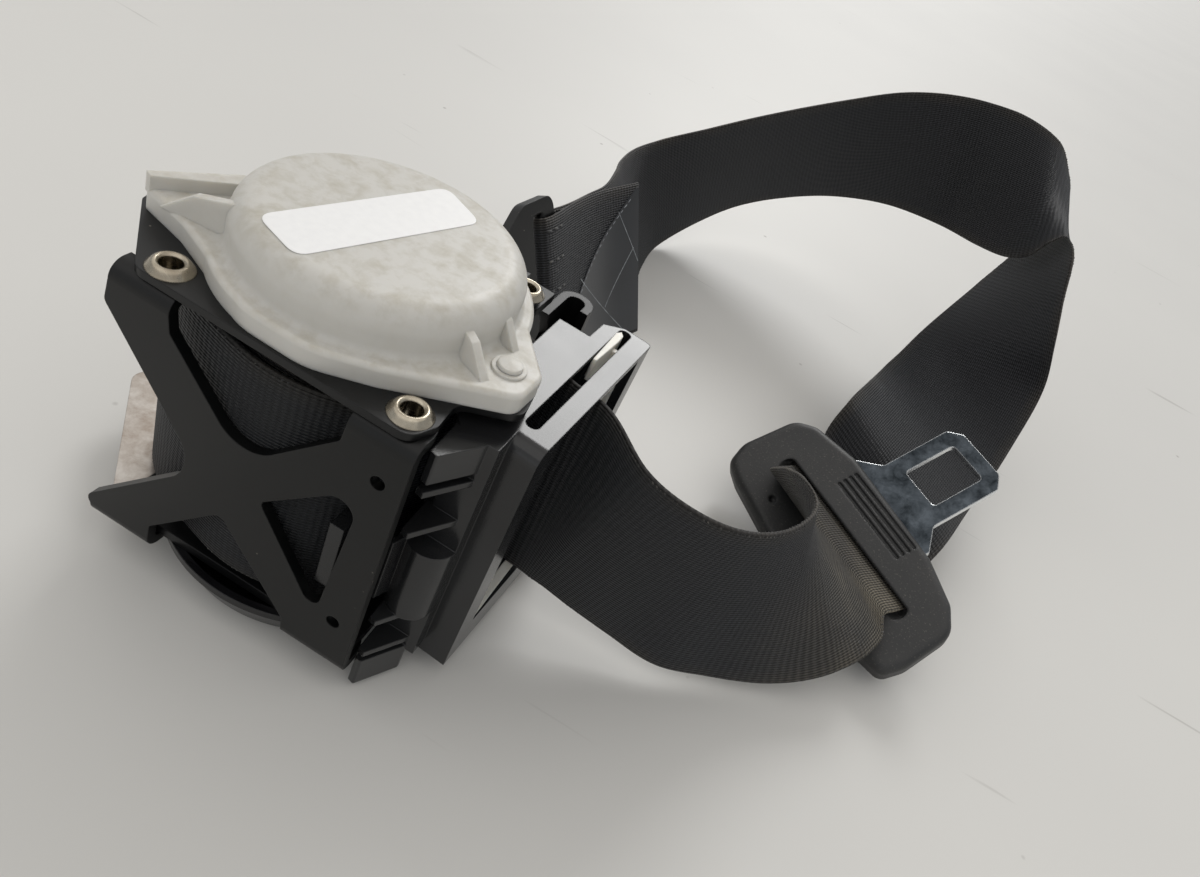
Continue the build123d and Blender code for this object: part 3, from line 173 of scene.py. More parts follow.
# %% [markdown]
# The belt lies on a pale painted table by a window. The window is behind the object and
# above it, so tops are light, fronts are dark and the shadows fall softly towards the viewer.
# Each lamp is a sun with a wide angle, as broad as a window or a white ceiling looks from the
# table. The world fills the rest, and shows a pale backdrop to the camera. The paint drifts a
# little in tone and has rare specks and scratches.

# %% Table, lamps and backdrop
TABLE_HALF = 30.0
table_mesh = bpy.data.meshes.new("table_top")
table_mesh.from_pydata([(-TABLE_HALF, -TABLE_HALF, 0), (TABLE_HALF, -TABLE_HALF, 0),
                        (TABLE_HALF, TABLE_HALF, 0), (-TABLE_HALF, TABLE_HALF, 0)], [],
                       [(0, 1, 2, 3)])
table_top = put_in_scene("table_top", table_mesh)
table_paint, tree = start_finish("painted_table_top")
where = add_node(tree, "TexCoord").outputs["Object"]
paint, _ = drifting(tree, where, {"Scale": 5.0, "Detail": 3.0}, "#cdccc9", "#d6d5d1")
grit = speckled(tree, where, 34.0, 0.012, 0.034, 0.55)
stretched = add_node(tree, "Mapping",
                     {"Rotation": (0.0, 0.0, 0.7), "Scale": (14.0, 210.0, 1.0)},
                     {"Vector": where})
scratch = add_node(tree, "TexNoise", {"Scale": 1.0, "Detail": 2.0}, {"Vector": stretched})
streak = add_node(tree, "MapRange", {"From Min": 0.73, "From Max": 0.80, "To Max": 0.35},
                  {"Value": scratch})
wear = add_node(tree, "Math", {"operation": "MAXIMUM"}, {0: grit, 1: streak})
worn_paint = add_node(tree, "Mix", {"data_type": "RGBA", 7: linear("#77726c")},
                      {0: wear, 6: paint})
end_finish(tree, {"Roughness": 0.42, "Specular IOR Level": 0.35},
           {"Base Color": worn_paint.outputs[2]})
table_mesh.materials.append(table_paint)


def hang_sun(name, place, angle, power, colour):
    """A broad soft light from the direction of a place; the angle is in degrees."""
    data = bpy.data.lights.new(name, "SUN")
    data.angle = radians(angle)
    data.energy = power
    data.color = linear(colour)[:3]
    lamp = put_in_scene(name, data)
    lamp.location = place
    lamp.rotation_mode = "QUATERNION"
    lamp.rotation_quaternion = (-Vector(place)).to_track_quat("-Z", "Y")


hang_sun("window", (-0.1, 0.95, 0.70), 24.0, 1.0, "#fbfbfa")
hang_sun("ceiling", (-0.15, 0.12, 1.0), 110.0, 1.30, "#fffaf4")
hang_sun("room_fill", (0.15, -0.9, 0.95), 100.0, 0.50, "#ffffff")
BACKDROP = 0.72
world = bpy.data.worlds.new("pale_room")
bpy.context.scene.world = world
world.use_nodes = True
tree = world.node_tree
tree.nodes.clear()
rays = add_node(tree, "LightPath")
seen = add_node(tree, "Math", {"operation": "MAXIMUM"},
                {0: rays.outputs["Is Camera Ray"], 1: rays.outputs["Is Transmission Ray"]})
sky = add_node(tree, "TexCoord")
level = add_node(tree, "SeparateXYZ", links={0: sky.outputs["Generated"]})
walls = add_node(tree, "MapRange",
                 {"From Min": 0.1, "From Max": 0.9, "To Min": 0.62, "To Max": 0.2},
                 {"Value": level.outputs["Z"]})
strength = add_node(tree, "Mix", {3: BACKDROP}, {0: seen, 2: walls})
backdrop = add_node(tree, "Background", {"Color": linear("#eef0f2")}, {"Strength": strength})
add_node(tree, "OutputWorld", links={"Surface": backdrop})
bpy.context.scene.view_settings.view_transform = "Standard"

# %% [markdown]
# The webbing is one strap, 47 mm wide and 1.2 mm thick: it leaves the spool, makes a slack
# turn round the roll, goes out through the guide, through the tongue's slot, round the big
# loop, into the lower anchor and back as a sewn flap. A strap could be a flat strip bent by
# modifiers, but its twists are easiest to hold by its two edges. Each station gives the lower
# and the upper edge, and smooth curves run through both.

# %% Stations of the strap, in millimetres
WEB_WIDTH = 47.0
WEB_THICK = 1.2
WEB_BOTTOM = 13.7
WEB_TOP = WEB_BOTTOM + WEB_WIDTH
ROLL_R = 24.3
SLACK_R = ROLL_R + 0.35 + WEB_THICK / 2
SLACK_BULGE = 8.5
BULGE_FROM = -262
BULGE_SPAN = 157


def upright(x, y):
    """A station where the strap stands upright at the level of the guide."""
    return (Vector((x, y, WEB_BOTTOM)), Vector((x, y, WEB_TOP)))


def slack_station(angle):
    """A station of the loose outer turn, which bulges on the left."""
    share = min(max((angle - BULGE_FROM) / BULGE_SPAN, 0), 1)
    r = SLACK_R + SLACK_BULGE * sin(pi * share) ** 2
    return upright(r * cos(radians(angle)), r * sin(radians(angle)))


SLOT_CENTRE = Vector((103.3, 76.1, 17.7))
ACROSS = Vector((0.817, -0.575, -0.055)).normalized()
TONGUE_UP = Vector((-0.287, -0.487, 0.825)).normalized()
SLOT_TILT = radians(40.0)
SLOT_DIR = (TONGUE_UP * -sin(SLOT_TILT)
            + TONGUE_UP.cross(ACROSS).normalized() * cos(SLOT_TILT)).normalized()


def in_slot(distance):
    """A station in the tongue's slot, at a distance from its upper mouth."""
    middle = SLOT_CENTRE + SLOT_DIR * distance
    return (middle + ACROSS * WEB_WIDTH / 2, middle - ACROSS * WEB_WIDTH / 2)


ANCHOR_ORIGIN = Vector((6.5, 82.0, 26.5))
ANCHOR_X = Vector((0.4545, -0.0762, -0.887)).normalized()
ANCHOR_Z = Vector((0.888, -0.017, 0.4565))
ANCHOR_Z = (ANCHOR_Z - ANCHOR_X * ANCHOR_Z.dot(ANCHOR_X)).normalized()
ANCHOR_Y = ANCHOR_Z.cross(ANCHOR_X)


def at_anchor(y, z):
    """A station on the anchor's plane, y towards the webbing, z towards the flap."""
    middle = ANCHOR_ORIGIN + ANCHOR_Y * y + ANCHOR_Z * z
    return (middle + ANCHOR_X * (WEB_WIDTH / 2), middle - ANCHOR_X * (WEB_WIDTH / 2))


BAR_R = 1.25
BAR_LOW = 1.6
FOLD_R = BAR_R + 0.1 + WEB_THICK / 2
FOLD_Y = BAR_LOW + BAR_R + 0.05
FLAP_Z = WEB_THICK / 2 + 0.35
# The slack turn and the way out through the guide
stations = [slack_station(a) for a in range(-50, -296, -7)]
stations += [upright(17.0, 20.1)]
guide_at = len(stations)
stations += [upright(24.3, 16.9), upright(30.0, 14.3), upright(36.0, 12.0), upright(41.8, 11.3)]
# From the guide to the tongue and through its slot
free_edges = [
    ((45.7, 13.3, 11.2), (55.5, 6.0, 56.5)), ((54.0, 14.4, 8.9), (66.4, 7.5, 53.7)),
    ((64.3, 16.2, 6.0), (75.2, 12.5, 51.6)), ((76.3, 18.1, 3.5), (81.5, 19.7, 50.2)),
    ((88.5, 24.2, 2.9), (85.3, 27.1, 49.7)), ((101.4, 30.6, 4.5), (86.9, 36.1, 48.8)),
    ((113.3, 38.5, 10.7), (83.1, 47.5, 45.4)), ((119.4, 46.4, 13.0), (80.3, 59.6, 38.2)),
    ((120.4, 52.4, 14.8), (80.6, 71.0, 29.0)),
]
stations += [(Vector(low), Vector(high)) for low, high in free_edges]
stations += [in_slot(-5.4), in_slot(0.0)]
slot_at = len(stations) - 1
stations += [in_slot(6.2), in_slot(12.4)]
# Round the big loop, which twists at its far side
loop_edges = [
    ((127.9, 83.2, 15.8), (89.9, 110.6, 21.5)), ((131.7, 96.0, 18.6), (90.6, 116.6, 30.2)),
    ((137.2, 117.9, 18.4), (93.6, 129.3, 31.8)), ((142.9, 139.1, 20.8), (97.1, 149.2, 26.4)),
    ((146.8, 159.3, 26.6), (101.0, 169.6, 22.6)), ((147.8, 175.0, 38.5), (105.9, 190.5, 23.5)),
    ((142.0, 177.3, 52.0), (112.3, 208.8, 33.7)), ((136.7, 182.6, 63.1), (118.2, 221.7, 44.8)),
    ((129.2, 193.1, 78.1), (126.8, 239.1, 70.0)), ((126.9, 197.1, 78.5), (127.6, 244.0, 81.6)),
    ((124.7, 200.9, 74.1), (122.2, 244.6, 88.0)), ((123.1, 206.7, 65.4), (114.5, 242.6, 94.5)),
    ((110.1, 232.7, 53.3), (95.8, 243.8, 95.8)), ((95.8, 248.7, 48.3), (80.2, 247.8, 92.2)),
    ((76.1, 255.9, 43.2), (59.5, 242.0, 84.8)), ((57.2, 255.9, 36.2), (44.9, 234.5, 76.1)),
    ((39.4, 248.6, 27.7), (31.0, 224.8, 67.4)), ((24.6, 237.3, 18.6), (18.0, 214.0, 58.9)),
    ((14.1, 222.6, 8.8), (5.6, 202.4, 50.4)), ((7.6, 205.2, 1.2), (-5.6, 188.9, 43.2)),
    ((8.6, 186.0, 0.8), (-8.2, 174.0, 42.0)), ((12.6, 167.0, 1.0), (-7.6, 160.0, 41.8)),
    ((16.4, 150.0, 1.6), (-5.0, 147.5, 43.4)),
]
stations += [(Vector(low), Vector(high)) for low, high in loop_edges]
# Round the anchor's bar and back as the flap
stations += [at_anchor(y, -WEB_THICK / 2) for y in (46.0, 38.0, 18.0)]
stations += [at_anchor(9.6, -FOLD_R)]
fold_at = len(stations)
stations += [at_anchor(FOLD_Y - FOLD_R * sin(pi * i / 6), -FOLD_R * cos(pi * i / 6))
             for i in range(7)]
stations += [at_anchor(9.6, FOLD_R), at_anchor(18.0, FLAP_Z), at_anchor(38.0, FLAP_Z)]
stations += [(Vector((24.9, 135.7, 4.3)), Vector((3.9, 142.0, 45.6)))]
print("stations along the strap:", len(stations))

# %% [markdown]
# Between stations the edges follow Hermite curves. Their slopes are weighed by the distance
# to each neighbour, because the stations are 1 mm apart in the fold and 20 mm apart in the
# loop, and evenly weighed slopes would overshoot there.

# %% Follow the stations
STEP = 1.3


def slopes(points):
    """The slope at each point, for a parameter that runs in millimetres."""
    steps = [after - point for point, after in zip(points, points[1:])]
    found = [steps[0] / steps[0].length]
    for back, front in zip(steps, steps[1:]):
        found.append((back / back.length * front.length + front / front.length * back.length)
                     / (back.length + front.length))
    return found + [steps[-1] / steps[-1].length]


def hermite(a, b, slope_a, slope_b, t):
    """A point between a and b, at share t."""
    d = (b - a).length
    return (a * (2 * t ** 3 - 3 * t ** 2 + 1) + slope_a * (d * (t ** 3 - 2 * t ** 2 + t))
            + b * (3 * t ** 2 - 2 * t ** 3) + slope_b * (d * (t ** 3 - t ** 2)))


def follow(pairs, step):
    """The strap's frames (centre, across, face, ahead, distance) and its stations' indices."""
    sides = [(side, slopes(side)) for side in zip(*pairs)]
    edges, marks = [], []
    for i in range(len(pairs) - 1):
        marks.append(len(edges))
        count = max(2, round(max((side[i + 1] - side[i]).length for side, _ in sides) / step))
        for k in range(count):
            edges.append([hermite(side[i], side[i + 1], slope[i], slope[i + 1], k / count)
                          for side, slope in sides])
    marks.append(len(edges))
    edges.append(pairs[-1])
    middles = [(low + high) / 2 for low, high in edges]
    frames, gone = [], 0.0
    for i, (low, high) in enumerate(edges):
        across = (low - high).normalized()
        ahead = (middles[min(i + 1, len(middles) - 1)] - middles[max(i - 1, 0)]).normalized()
        face = ahead.cross(across).normalized()
        if i:
            gone += (middles[i] - middles[i - 1]).length
        frames.append((middles[i], across, face, across.cross(face) * -1.0, gone))
    return frames, marks


strap, marks = follow(stations, STEP)
print("strap length in mm:", round(strap[-1][4], 1), "frames:", len(strap))
print("slack turn", round(strap[marks[guide_at]][4], 1),
      "guide to slot", round(strap[marks[slot_at]][4] - strap[marks[guide_at]][4], 1),
      "slot to fold", round(strap[marks[fold_at]][4] - strap[marks[slot_at]][4], 1))

# %% [markdown]
# The strap's cross-section is a flat band with rounded selvedges. It is carried along the
# frames as rings of points. Each corner gets a place on the strap's own map, in metres across
# and along, so that the weave keeps its real size round every bend.

# %% Make a strap mesh
def band_section(width, thick, divisions):
    """Points of the band's section, (across, out), round the whole of it."""
    flat = width / 2 - thick / 2
    upper = [(-flat + 2 * flat * i / divisions, thick / 2) for i in range(divisions + 1)]
    side = [(flat + thick / 2 * sin(pi * k / 4), thick / 2 * cos(pi * k / 4)) for k in range(1, 4)]
    lower = [(x, -thick / 2) for x, _ in reversed(upper)]
    other = [(-x, -y) for x, y in side]
    return upper + side + lower + other


def make_strap(name, frames, width, thick, divisions):
    """A closed band along frames, in metres, with a map named weave."""
    section = band_section(width, thick, divisions)
    bm = bmesh.new()
    layer = bm.loops.layers.uv.new("weave")
    rings = []
    for centre, across, face, _, _ in frames:
        rings.append([bm.verts.new((centre + across * x + face * y) * MM)
                      for x, y in section])
    count = len(section)
    for i in range(len(rings) - 1):
        for k in range(count):
            n = (k + 1) % count
            quad = bm.faces.new((rings[i][k], rings[i][n], rings[i + 1][n], rings[i + 1][k]))
            quad.smooth = True
            for loop, (column, row) in zip(quad.loops, ((k, i), (n, i), (n, i + 1), (k, i + 1))):
                loop[layer].uv = (section[column][0] * MM, frames[row][4] * MM)
    for ring, row in ((rings[0], 0), (rings[-1], -1)):
        cap = bm.faces.new(ring)
        for loop, (x, _) in zip(cap.loops, section):
            loop[layer].uv = (x * MM, frames[row][4] * MM)
    return mesh_piece(name, bm)


belt_strap = make_strap("belt_strap", strap, WEB_WIDTH, WEB_THICK, 22)
print("belt_strap triangles:", sum(len(p.vertices) - 2 for p in belt_strap.data.polygons))

# %% [markdown]
# The rest of the webbing, more than a metre of it, is wound on the spool. A solid ring would
# do where nobody looks, but its layers show at the edge between the plates, so it is the same
# band on a real spiral, one thickness further out each turn.

# %% Webbing wound on the spool
CORE_R = 9.0
TURN_PITCH = 1.22
TURN_STEPS = 60
turns = (ROLL_R - WEB_THICK / 2 - CORE_R - WEB_THICK / 2) / TURN_PITCH
spiral, gone, last = [], 0.0, None
for i in range(int(turns * TURN_STEPS) + 1):
    angle = 2 * pi * i / TURN_STEPS
    r = CORE_R + WEB_THICK / 2 + TURN_PITCH * i / TURN_STEPS
    centre = Vector((r * cos(angle), r * sin(angle), (WEB_BOTTOM + WEB_TOP) / 2))
    gone += (centre - last).length if last is not None else 0
    last = centre
    spiral.append((centre, Vector((0, 0, -1)), Vector((cos(angle), sin(angle), 0)), None, gone))
roll_winding = make_strap("roll_winding", spiral, WEB_WIDTH - 0.2, WEB_THICK, 8)
print("turns on the spool:", round(turns, 1), "wound length in mm:", round(gone))

# %% [markdown]
# Seat belt webbing is black polyester yarn in a tight twill. Close up one sees fine ribs
# along the strap, about 0.65 mm apart, and shallow bars across it, about 1.3 mm apart. Both
# are drawn on the strap's own map with wave patterns, and their tops are painted lighter as a
# painted highlight. Near the tongue the belt has been pulled through the slot thousands of
# times, so its yarn is fuzzy and holds pale brown dust. From the strap's start to a few
# centimetres past the guide the yarn is painted darker, as painted shade where the strap
# leaves the retractor.

# %% Polyester webbing
RIB_SPACING = 0.66 * MM
BAR_SPACING = 1.32 * MM


def bands(spacing):
    """The scale at which a wave pattern's bands are a spacing apart."""
    return pi / 10 / spacing


slot_mark = strap[marks[slot_at]][4] * MM
guide_mark = strap[marks[guide_at]][4] * MM
woven_polyester, tree = start_finish("woven_black_polyester")
weave = add_node(tree, "UVMap", {"uv_map": "weave"})
ribs = add_node(tree, "TexWave", {"bands_direction": "X", "Scale": bands(RIB_SPACING),
                                  "Distortion": 0.6, "Detail": 1.0}, {"Vector": weave})
bars = add_node(tree, "TexWave", {"bands_direction": "Y", "Scale": bands(BAR_SPACING),
                                  "Distortion": 1.6, "Detail": 1.0, "Detail Scale": 0.6},
                {"Vector": weave})
relief = add_node(tree, "Math", {"operation": "MULTIPLY_ADD", 1: 0.55},
                  {0: bars.outputs["Fac"], 2: ribs.outputs["Fac"]})
fibre = add_node(tree, "TexNoise", {"Scale": 1400.0, "Detail": 3.0}, {"Vector": weave})
height = add_node(tree, "Math", {"operation": "MULTIPLY_ADD", 1: 0.6},
                  {0: fibre, 2: relief})
cloud = add_node(tree, "TexNoise", {"Scale": 45.0, "Detail": 4.0}, {"Vector": weave})
parts = add_node(tree, "SeparateXYZ", links={0: weave})
near_slot = add_node(tree, "MapRange",
                     {"interpolation_type": "SMOOTHSTEP", "From Min": slot_mark - 0.062,
                      "From Max": slot_mark - 0.004}, {"Value": parts.outputs["Y"]})
after_slot = add_node(tree, "MapRange",
                      {"interpolation_type": "SMOOTHSTEP", "From Min": slot_mark + 0.002,
                       "From Max": slot_mark + 0.014, "To Min": 1.0, "To Max": 0.0},
                      {"Value": parts.outputs["Y"]})
lower_side = add_node(tree, "MapRange",
                      {"From Min": -0.026, "From Max": 0.012, "To Min": 0.35, "To Max": 1.0},
                      {"Value": parts.outputs["X"]})
patchy = add_node(tree, "MapRange",
                  {"From Min": 0.35, "From Max": 0.7, "To Min": 0.25, "To Max": 1.0},
                  {"Value": cloud})
rubbed = near_slot
for factor in (after_slot, lower_side, patchy):
    rubbed = add_node(tree, "Math", {"operation": "MULTIPLY"}, {0: rubbed, 1: factor})
# Painted highlight: the tops of the ribs and bars get the lighter yarn, dust and fray tones.
painted_rib_highlight = add_node(tree, "MapRange", {"From Min": 0.55, "From Max": 1.75}, {"Value": height})
# Painted shade: the yarn is darker from the strap's start to a few centimetres past the guide.
painted_shade_past_guide = add_node(tree, "MapRange",
                   {"From Min": guide_mark + 0.024, "From Max": guide_mark + 0.075,
                    "To Min": 0.3, "To Max": 1.0}, {"Value": parts.outputs["Y"]})
lit_yarn = add_node(tree, "Math", {"operation": "MULTIPLY"}, {0: painted_rib_highlight, 1: painted_shade_past_guide})
yarn, dust, fray = (
    add_node(tree, "Mix", {"data_type": "RGBA", 6: linear(dark), 7: linear(light)},
             {0: lit_yarn}).outputs[2]
    for dark, light in (("#030405", "#303135"), ("#363229", "#8a8272"), ("#16140f", "#4f483e")))
from_middle = add_node(tree, "Math", {"operation": "ABSOLUTE"}, {0: parts.outputs["X"]})
at_edge = add_node(tree, "MapRange",
                   {"From Min": 0.0195, "From Max": 0.0232, "To Max": 0.75},
                   {"Value": from_middle})
frayed = add_node(tree, "Math", {"operation": "MULTIPLY"}, {0: at_edge, 1: patchy})
edged = add_node(tree, "Mix", {"data_type": "RGBA"}, {0: frayed, 6: yarn, 7: fray})
cloth = add_node(tree, "Mix", {"data_type": "RGBA"}, {0: rubbed, 6: edged.outputs[2], 7: dust})
bump = add_node(tree, "Bump", {"Strength": 1.0, "Distance": 0.26 * MM}, {"Height": height})
end_finish(tree, {"Roughness": 0.58, "Specular IOR Level": 0.34, "Sheen Weight": 0.10,
                  "Sheen Roughness": 0.4, "Sheen Tint": linear("#9aa0a8")},
           {"Base Color": cloth.outputs[2], "Normal": bump})
for piece in (belt_strap, roll_winding):
    piece.data.materials.append(woven_polyester)
print("ribs across the strap:", round(WEB_WIDTH * MM / RIB_SPACING))

# %% [markdown]
# The strap's edges are selvedges, where the crosswise yarn turns round the last warp threads.
# It shows as a row of tiny knuckles that catch the light. Threads that repeat along a line
# are a job for Geometry Nodes: a rail goes in, is divided evenly, and each point gets a small
# thread. The same tree later lays the sewing stitches.

# %% A Geometry Nodes tree for rows of thread
THREAD_SIZES = ("Spacing", "Thread Length", "Thread Width", "Thread Height")


def thread_row_tree():
    """Rows of short threads along rails that carry ahead and out directions."""
    tree = bpy.data.node_groups.new("thread_row", "GeometryNodeTree")
    tree.is_modifier = True
    face = tree.interface
    face.new_socket(name="Rail", in_out="INPUT", socket_type="NodeSocketGeometry")
    for name in THREAD_SIZES + ("Lean",):
        face.new_socket(name=name, in_out="INPUT", socket_type="NodeSocketFloat")
    face.new_socket(name="Seed", in_out="INPUT", socket_type="NodeSocketInt")
    face.new_socket(name="Finish", in_out="INPUT", socket_type="NodeSocketMaterial")
    face.new_socket(name="Threads", in_out="OUTPUT", socket_type="NodeSocketGeometry")
    given = add_node(tree, "NodeGroupInput").outputs
    line = add_node(tree, "GeometryNodeMeshToCurve", links={0: given["Rail"]})
    even = add_node(tree, "GeometryNodeResampleCurve", {"mode": "LENGTH"},
                    {"Curve": line, "Length": given["Spacing"]})
    ahead = add_node(tree, "GeometryNodeInputNamedAttribute",
                     {"data_type": "FLOAT_VECTOR", "Name": "ahead"})
    out = add_node(tree, "GeometryNodeInputNamedAttribute",
                   {"data_type": "FLOAT_VECTOR", "Name": "out"})
    stand = add_node(tree, "FunctionNodeAxesToRotation",
                     {"primary_axis": "Z", "secondary_axis": "X"},
                     {0: ahead.outputs[0], 1: out.outputs[0]})
    uneven = add_node(tree, "FunctionNodeRandomValue", {"data_type": "FLOAT", 2: 0.82, 3: 1.15},
                      {"Seed": given["Seed"]})
    sway = add_node(tree, "FunctionNodeRandomValue", {"data_type": "FLOAT", 2: -0.14, 3: 0.14},
                    {"Seed": given["Seed"]})
    lean = add_node(tree, "Math", {"operation": "ADD"},
                    {0: given["Lean"], 1: sway.outputs[1]})
    tilt = add_node(tree, "FunctionNodeAxisAngleToRotation", {"Axis": (1.0, 0.0, 0.0)},
                    {"Angle": lean})
    stand = add_node(tree, "FunctionNodeRotateRotation", {"rotation_space": "LOCAL"},
                     {"Rotation": stand, "Rotate By": tilt})
    size = add_node(tree, "CombineXYZ", links={0: given["Thread Height"],
                                               1: given["Thread Width"],
                                               2: given["Thread Length"]})
    size = add_node(tree, "VectorMath", {"operation": "SCALE"},
                    {0: size, "Scale": uneven.outputs[1]})
    thread = add_node(tree, "GeometryNodeMeshUVSphere", {"Segments": 6, "Rings": 4, "Radius": 0.5})
    smooth = add_node(tree, "GeometryNodeSetShadeSmooth", links={0: thread})
    laid = add_node(tree, "GeometryNodeInstanceOnPoints",
                    links={"Points": even, "Instance": smooth, "Rotation": stand, "Scale": size})
    real = add_node(tree, "GeometryNodeRealizeInstances", links={0: laid})
    done = add_node(tree, "GeometryNodeSetMaterial", links={0: real, "Material": given["Finish"]})
    add_node(tree, "NodeGroupOutput", links={0: done})
    return tree


thread_rows = thread_row_tree()


def lay_threads(name, rails, sizes, lean, seed, finish):
    """Threads along rails of (point, ahead, out); rails and THREAD_SIZES are in mm."""
    mesh = bpy.data.meshes.new(name + "_rails")
    points, edges, aheads, outs = [], [], [], []
    for rail in rails:
        edges += [(len(points) + i, len(points) + i + 1) for i in range(len(rail) - 1)]
        points += [p * MM for p, _, _ in rail]
        aheads += [c for _, a, _ in rail for c in a]
        outs += [c for _, _, o in rail for c in o]
    mesh.from_pydata(points, edges, [])
    for label, data in (("ahead", aheads), ("out", outs)):
        mesh.attributes.new(label, "FLOAT_VECTOR", "POINT").data.foreach_set("vector", data)
    holder = put_in_scene(name + "_rails", mesh)
    modifier = holder.modifiers.new("threads", "NODES")
    modifier.node_group = thread_rows
    keys = {item.name: item.identifier for item in thread_rows.interface.items_tree
            if item.in_out == "INPUT"}
    values = {label: size * MM for label, size in zip(THREAD_SIZES, sizes)}
    for label, value in (values | {"Lean": lean, "Seed": seed, "Finish": finish}).items():
        modifier[keys[label]] = value
    graph = bpy.context.evaluated_depsgraph_get()
    graph.update()
    made = bpy.data.meshes.new_from_object(holder.evaluated_get(graph))
    bpy.data.objects.remove(holder)
    made.name = name
    print(name, "triangles:", sum(len(p.vertices) - 2 for p in made.polygons))
    return put_in_scene(name, made)


# %% Selvedge knuckles
SELVEDGE_INSET = 0.5
selvedge_yarn, tree = start_finish("selvedge_yarn")
where = add_node(tree, "TexCoord").outputs["Object"]
worn, _ = drifting(tree, where, {"Scale": 260.0, "Detail": 2.0}, "#0d0e10", "#4f4c46",
                   (0.4, 0.72))
end_finish(tree, {"Roughness": 0.6, "Sheen Weight": 0.3, "Sheen Roughness": 0.5},
           {"Base Color": worn})


def edge_rail(frames, side):
    """The rail of one selvedge; side is 1 for the lower edge and -1 for the upper."""
    return [(c + a * side * (WEB_WIDTH / 2 - SELVEDGE_INSET), h, f) for c, a, f, h, _ in frames]


shown = strap[marks[guide_at]:marks[fold_at] - 4]
turn = strap[marks[4]:marks[guide_at] - 4]
edge_rails = [edge_rail(part, side) for part in (shown, turn) for side in (1, -1)]
belt_selvedge = lay_threads("belt_selvedge", edge_rails, (0.95, 0.9, 0.62, 1.34), 0.35, 3,
                            selvedge_yarn)

# %% [markdown]
# The strap's flap is sewn to the strap itself with rows of heavy thread. A satin label lies
# on it, cut slantwise, with finer stitches along the slant and three plain lines instead of
# print. Satin's long floats make it smoother than the webbing, with a soft sheen, and the
# twisted grey thread reads as a fine light line. A flat patch could be wrapped onto the flap.
# Here its corners follow the flap's frames, which keeps it at one height over the bend.

# %% Label and stitches on the sewn end
LABEL_T = 0.3
LABEL_LIFT = -(WEB_THICK + LABEL_T) / 2 - 0.05
LABEL_FACE = LABEL_LIFT - LABEL_T / 2
LABEL_SIDE = 0.03
LABEL_SPAN = 0.94
LABEL_END = 0.6
LABEL_SLANT = 68.0
LABEL_FIRST = 9.0
flap_start = marks[fold_at + 6]
flap = strap[flap_start:]
flap_length = strap[-1][4] - strap[flap_start][4]


def on_flap(along, share):
    """A place on the flap and its face, from mm past the fold and a share from the top edge."""
    wanted = flap[0][4] + min(max(along, 0.0), flap_length)
    i = max(k for k, f in enumerate(flap[:-1]) if f[4] <= wanted)
    t = (wanted - flap[i][4]) / (flap[i + 1][4] - flap[i][4])
    centre, across, face = (flap[i][k].lerp(flap[i + 1][k], t) for k in range(3))
    return centre + across * (share - 0.5) * WEB_WIDTH, face.normalized()


def label_start(share):
    """Where the label's slanted edge lies, for a share of the width from the top edge."""
    return max(flap_length - 1.0 - LABEL_SLANT * max(share - 0.02, 0.0), LABEL_FIRST)


def make_label(name, columns, rows):
    """A thin patch on the flap between its slanted edge and the flap's end."""
    bm = bmesh.new()
    layer = bm.loops.layers.uv.new("weave")
    sides, flat_map = [], {}
    for lift in (LABEL_FACE, LABEL_LIFT + LABEL_T / 2):
        grid = []
        for c in range(columns + 1):
            share = LABEL_SIDE + LABEL_SPAN * c / columns
            line = []
            for r in range(rows + 1):
                start = label_start(share)
                along = start + (flap_length - LABEL_END - start) * r / rows
                place, face = on_flap(along, share)
                line.append(bm.verts.new((place + face * lift) * MM))
                flat_map[line[-1]] = (share * WEB_WIDTH * MM, along * MM)
            grid.append(line)
        sides.append(grid)
    for grid in sides:
        for c in range(columns):
            for r in range(rows):
                bm.faces.new((grid[c][r], grid[c + 1][r], grid[c + 1][r + 1], grid[c][r + 1]))
    inner, outer = (grid[0] + [line[-1] for line in grid[1:]] + grid[-1][-2::-1]
                    + [line[0] for line in grid[-2:0:-1]] for grid in sides)
    for i in range(len(inner)):
        n = (i + 1) % len(inner)
        bm.faces.new((inner[i], inner[n], outer[n], outer[i]))
    for quad in bm.faces:
        quad.smooth = True
        for loop in quad.loops:
            loop[layer].uv = flat_map[loop.vert]
    piece = mesh_piece(name, bm)
    piece.data.set_sharp_from_angle(angle=radians(40))
    return piece


satin_label, tree = start_finish("woven_satin_label")
weave = add_node(tree, "UVMap", {"uv_map": "weave"})
ribs = add_node(tree, "TexWave", {"bands_direction": "Y", "Scale": bands(0.5 * MM),
                                  "Distortion": 0.5}, {"Vector": weave})
satin, _ = drifting(tree, weave, {"Scale": 90.0, "Detail": 3.0}, "#15171b", "#25282d")
bump = add_node(tree, "Bump", {"Strength": 0.4, "Distance": 0.05 * MM}, {"Height": ribs})
end_finish(tree, {"Roughness": 0.38, "Specular IOR Level": 0.5, "Sheen Weight": 0.15},
           {"Base Color": satin, "Normal": bump})
sewn_label = make_label("sewn_label", 14, 10)
sewn_label.data.materials.append(satin_label)
sewing_thread, tree = start_finish("grey_sewing_thread")
where = add_node(tree, "TexCoord").outputs["Object"]
twisted, _ = drifting(tree, where, {"Scale": 900.0, "Detail": 1.0}, "#5d6166", "#9fa3a6")
end_finish(tree, {"Roughness": 0.5}, {"Base Color": twisted})
RAIL_STEPS = 24
STITCH_INSET = 1.2
SEAM_ROWS = (-20, -12, -4, 4, 12, 20)


def face_rail(frames, offset, lift):
    """A rail on a face of the strap, offset across it and lifted along its face direction."""
    return [(c + a * offset + f * lift, h, f) for c, a, f, h, _ in frames]


